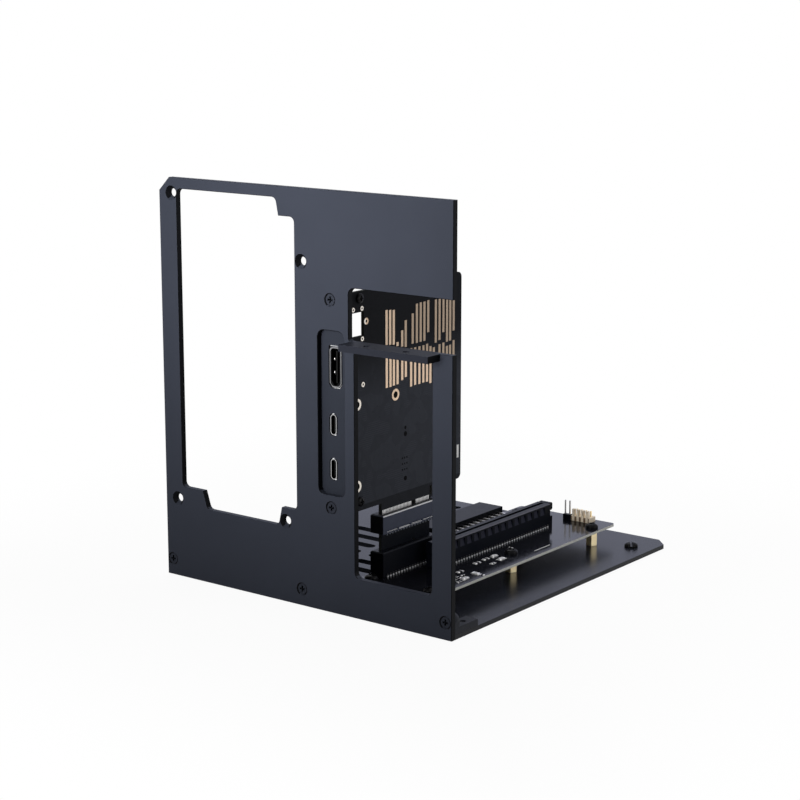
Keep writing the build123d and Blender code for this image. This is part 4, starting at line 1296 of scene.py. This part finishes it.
@dataclass
class ControllerCard:
    """The upright card with its bracket, ports, chip and heat sink.

    Places on its faces are given in millimetres in from its rear edge and down from its top edge. A row of hidden parts
    has every place that its insets and depths make up. Finishes come with the width of the edge bevel in millimetres.
    Strips have a count, pitch, width and start behind the tongue's front.
    """

    screw_head_height: float = 1.3 * MM
    large_vias: tuple[Triple, ...] = ((41.4, 64.1, 0.8), (41.4, 66.9, 1.15), (41.4, 86.9, 1.1))
    via_grid: tuple[Triple, Triple] = ((40.3, 41.9, 43.5), (77.6, 80.2, 82.8))
    via_radius: float = 0.42
    print_bar: tuple[Span, Span] = ((1.5, 3.0), (79.1, 85.1))
    hidden_rows: tuple[tuple[SmallPart, bool, tuple[float, ...], tuple[float, ...]], ...] = (
        (SmallPart.COIL, False, (20.0, 30.0, 40.0), (12.0,)),
        (SmallPart.REGULATOR, False, (20.0, 30.0, 40.0), (23.0,)),
        (SmallPart.REGULATOR, True, (50.0,), (16.0,)),
        (SmallPart.CAPACITOR, True, (20.0, 25.0, 30.0, 35.0, 40.0, 45.0), (32.0,)),
        (SmallPart.RESISTOR, False, (20.0, 24.0, 28.0), (38.0,)),
        (SmallPart.SPECK, False, (8.0,), (30.0, 34.0, 38.0)),
        (SmallPart.RESISTOR, True, (8.0,), (58.0, 62.0)),
        (SmallPart.CAPACITOR, True, (8.0,), (72.0, 76.0)),
        (SmallPart.COIL, False, (41.8,), (48.2,)),
    )
    data_strips: Strips = (12, 0.5, 0.26, 1.4)
    video_strips: Strips = (10, 1.25, 0.55, 2.6)
    strip_end: float = 4.4
    strip_faces: Span = (0.4, 0.46)
    spring_heights: Span = (3.1, -2.6)
    spring_inset: float = 0.95
    spring_depth: float = 2.6
    spring_radius: float = 0.75
    spring_rise: float = 0.7
    spring_turns: tuple[int, ...] = (12, 36, 60, 84)
    finishes: tuple[tuple[str, Palette, float], ...] = (
        ("controller_board", Palette.CARD, 0.08), ("card_fingers", Palette.PALE, 0.0),
        ("card_copper", Palette.BARS, 0.0), ("card_bracket", Palette.BRACKET, 0.12),
        ("controller_chip", Palette.CHIP, 0.15), ("controller_heat_sink", Palette.SINK, 0.1),
        ("video_port_shell", Palette.VIDEO_RIM, 0.0), ("video_port_tongue", Palette.PORT, 0.08),
        ("data_port_upper_shell", Palette.UPPER_RIM, 0.0), ("data_port_upper_tongue", Palette.PORT, 0.08),
        ("data_port_lower_shell", Palette.LOWER_RIM, 0.0), ("data_port_lower_tongue", Palette.PORT, 0.08),
    )

    def build(self) -> None:
        """Dresses the card's nodes and adds its small parts."""
        for node, finish, bevel in self.finishes:
            dress(node, finish, bevel)
        ScrewSet("card_screws", HeadKind.PAN, Direction.RIGHT, self.screw_head_height).build()
        self._right_face()
        self._left_face()
        self._springs()
        self._strips("video_port_contacts", ("video_port_tongue",), self.video_strips)
        self._strips("data_port_contacts", ("data_port_upper_tongue", "data_port_lower_tongue"), self.data_strips)

    def _right_face(self) -> None:
        """Adds the filled vias and the printed bar on the face that is seen."""
        _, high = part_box("controller_board")
        bench = Bench("card_right_marks")
        face = BoardFace(bench, high, (0, -1, 0), (0, 0, -1), (1, 0, 0))
        insets, depths = self.via_grid
        grid = [(inset, down, self.via_radius) for down in depths for inset in insets]
        for inset, down, radius in [*self.large_vias, *grid]:
            face.dot(inset, down, radius, Palette.VIA)
        (near, far), (top, bottom) = self.print_bar
        face.block((near, top, 0.0), (far, bottom, face.print_height), Palette.PRINT)
        bench.finish("circuit_board")

    def _left_face(self) -> None:
        """Adds the small parts around the heat sink on the far face."""
        low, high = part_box("controller_board")
        bench = Bench("card_small_parts")
        corner = Vector((low.x, high.y, high.z))
        face = BoardFace(bench, corner, (0, -1, 0), (0, 0, -1), (-1, 0, 0))
        for kind, turned, insets, depths in self.hidden_rows:
            for down in depths:
                for inset in insets:
                    face.part(inset, down, kind, turned)
        bench.finish("chip_plastic")

    def _springs(self) -> None:
        """Adds the two domed springs on the left wall of the video port's shell, which hold a plug."""
        low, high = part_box("video_port_shell")
        bench = Bench("video_port_springs")
        wall = Vector((low.x + self.spring_inset * MM, low.y + self.spring_depth * MM, (low.z + high.z) / 2))
        face = BoardFace(bench, wall, (0, 1, 0), (0, 0, 1), (1, 0, 0))
        radius, rise = self.spring_radius, self.spring_radius * self.spring_rise
        rings = [(radius * math.sin(turn), rise * math.cos(turn)) for turn in map(math.radians, self.spring_turns)]
        for height in self.spring_heights:
            bench.lathe(rings, Palette.STEEL, face.place @ Matrix.Translation((0.0, height, 0.0)), SPRING_SIDES)
        bench.finish("port_steel")

    def _strips(self, name: str, tongues: Sequence[str], row: Strips) -> None:
        """Adds contact strips to both sides of port tongues.

        Args:
            name: The new piece's name.
            tongues: The tongues' nodes.
            row: How many strips a side has, their pitch, their width and how far back they start, in millimetres.
        """
        count, pitch, width, start = row
        bench = Bench(name)
        for tongue in tongues:
            low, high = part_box(tongue)
            middle = Vector(((low.x + high.x) / 2, low.y, (low.z + high.z) / 2))
            face = BoardFace(bench, middle, (1, 0, 0), (0, 0, 1), (0, 1, 0))
            for step in range(count):
                z = (step - (count - 1) / 2) * pitch
                for near, far in both_sides(*self.strip_faces):
                    face.block((near, z - width / 2, start), (far, z + width / 2, self.strip_end), Palette.GOLD)
        bench.finish("gold_contact")


@dataclass(frozen=True)
class Lamp:
    """A soft square lamp: where it hangs, what it faces, its size, power and beam angle."""

    name: str
    place: Triple
    aim: Triple
    size: float
    power: float
    spread: float = 180.0

    def build(self) -> None:
        """Hangs the lamp."""
        data = bpy.data.lights.new(self.name, "AREA")
        data.shape = "SQUARE"
        data.size = self.size
        data.energy = self.power
        data.spread = math.radians(self.spread)
        lamp = linked(self.name, data)
        lamp.location = self.place
        lamp.rotation_euler = (Vector(self.aim) - Vector(self.place)).to_track_quat("-Z", "Y").to_euler()
        lamp.visible_camera = False


@dataclass
class Studio:
    """Camera, lamps, world, floor and a pale blue card that only reflections see."""

    azimuth: float = 37.4675
    elevation: float = 11.9288
    lens: float = 90.0
    sensor: float = 36.0
    clip: Span = (0.01, 50.0)
    camera_place: Triple = (0.53886, -0.71817, 0.26649)
    fill: float = 0.17
    floor_glow: float = 0.95
    floor_drop: float = 0.0006
    floor_reach: float = 6.0
    floor_colour: tuple[float, ...] = (0.9, 0.9, 0.9, 1.0)
    floor_far: Span = (10.0, 200.0)
    floor_dark: Span = (-9.0, -1.0)
    card_colour: tuple[float, ...] = (0.78, 0.81, 1.0, 1.0)
    card_corners: tuple[Triple, ...] = ((-0.9, 0.36, 0.0), (0.3, 0.36, 0.0), (0.3, 0.36, 0.6), (-0.9, 0.36, 0.6))
    lamps: tuple[Lamp, ...] = (
        Lamp("key", (0.0, -0.38, 0.21), (-0.005, -0.085, 0.195), 0.24, 0.315, 60.0),
        Lamp("back", (-0.45, 0.45, 0.95), (0.0, 0.0, 0.08), 0.6, 3.0),
        Lamp("side", (0.75, 0.12, 0.12), (0.0, 0.0, 0.06), 0.35, 1.2),
        Lamp("rear", (0.05, 0.7, 0.3), (0.0, 0.0, 0.09), 0.4, 2.0),
    )

    def build(self) -> None:
        """Sets up the whole studio."""
        self._camera()
        self._world()
        self._floor()
        self._reflected_card()
        for lamp in self.lamps:
            lamp.build()
        bpy.context.scene.view_settings.view_transform = "Standard"

    def _camera(self) -> None:
        """Puts the camera where the photograph was taken from."""
        data = bpy.data.cameras.new("camera")
        data.lens = self.lens
        data.sensor_width = self.sensor
        data.sensor_fit = "HORIZONTAL"
        data.clip_start, data.clip_end = self.clip
        camera = linked("camera", data)
        camera.location = self.camera_place
        camera.rotation_euler = (math.radians(90.0 - self.elevation), 0.0, math.radians(self.azimuth))
        bpy.context.scene.camera = camera

    def _world(self) -> None:
        """A world that shows white and gives a low even light."""
        world = bpy.data.worlds.new("studio")
        bpy.context.scene.world = world
        recipe = Recipe(world)
        fill, white = (
            recipe.add("ShaderNodeBackground", {"Color": WHITE, "Strength": strength})[0]
            for strength in (self.fill, 1.0)
        )
        recipe.end(recipe.blend(recipe.shows_background(), fill, white))

    @staticmethod
    def _sheet(name: str, corners: Sequence[Triple], material: Material) -> bpy.types.Object:
        """Adds a flat sheet of the studio.

        Args:
            name: The sheet's name.
            corners: Its corners, in order.
            material: Its material.

        Returns:
            The new object.
        """
        mesh = bmesh.new()
        mesh.faces.new([mesh.verts.new(corner) for corner in corners])
        data = as_mesh(name, mesh)
        data.materials.append(material)
        sheet = linked(name, data)
        return sheet

    def _floor(self) -> None:
        """A pale floor that keeps the dock's shadow and stays dark under the dock."""
        recipe = Recipe.named("floor_white")
        x, y, _ = recipe.axes(recipe.place())
        low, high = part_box("front_panel")[0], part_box("base_plate")[1]
        middle = [(a + b) / 2 / MM for a, b in zip(low, high)]
        half = [(b - a) / 2 / MM for a, b in zip(low, high)]
        outside = (abs(x - middle[0]) - half[0]) | (abs(y - middle[1]) - half[1])
        far = outside.between(*self.floor_far)
        glow_share = outside.between(*self.floor_dark) * (self.floor_glow + (1 - self.floor_glow) * far)
        lit = recipe.add("ShaderNodeBsdfDiffuse", {"Color": self.floor_colour})[0]
        glow = recipe.add("ShaderNodeEmission", {"Strength": 1.0})[0]
        both = recipe.blend(recipe.shows_background() * glow_share, lit, glow)
        reach, down = self.floor_reach, -self.floor_drop
        corners = ((-reach, -reach, down), (reach, -reach, down), (reach, reach, down), (-reach, reach, down))
        self._sheet("floor", corners, recipe.end(both))

    def _reflected_card(self) -> None:
        """A pale blue card behind the dock, which the base plate and the boards mirror."""
        recipe = Recipe.named("pale_card")
        glow = recipe.add("ShaderNodeEmission", {"Color": self.card_colour, "Strength": 1.0})[0]
        card = self._sheet("pale_card", self.card_corners, recipe.end(glow))
        for flag in ("visible_camera", "visible_diffuse", "visible_transmission", "visible_shadow"):
            setattr(card, flag, False)


def write_sizes() -> None:
    """Updates the view layer."""
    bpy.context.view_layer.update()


def main() -> None:
    """Builds every sub-assembly in order and reports each."""
    logging.basicConfig(level=logging.INFO, format="%(name)s: %(message)s")
    for part in (Chassis(), MainBoard(), ControllerCard(), Studio()):
        part.build()
        LOG.info("finished %s", type(part).__name__)
    write_sizes()


if __name__ == "__main__":
    main()
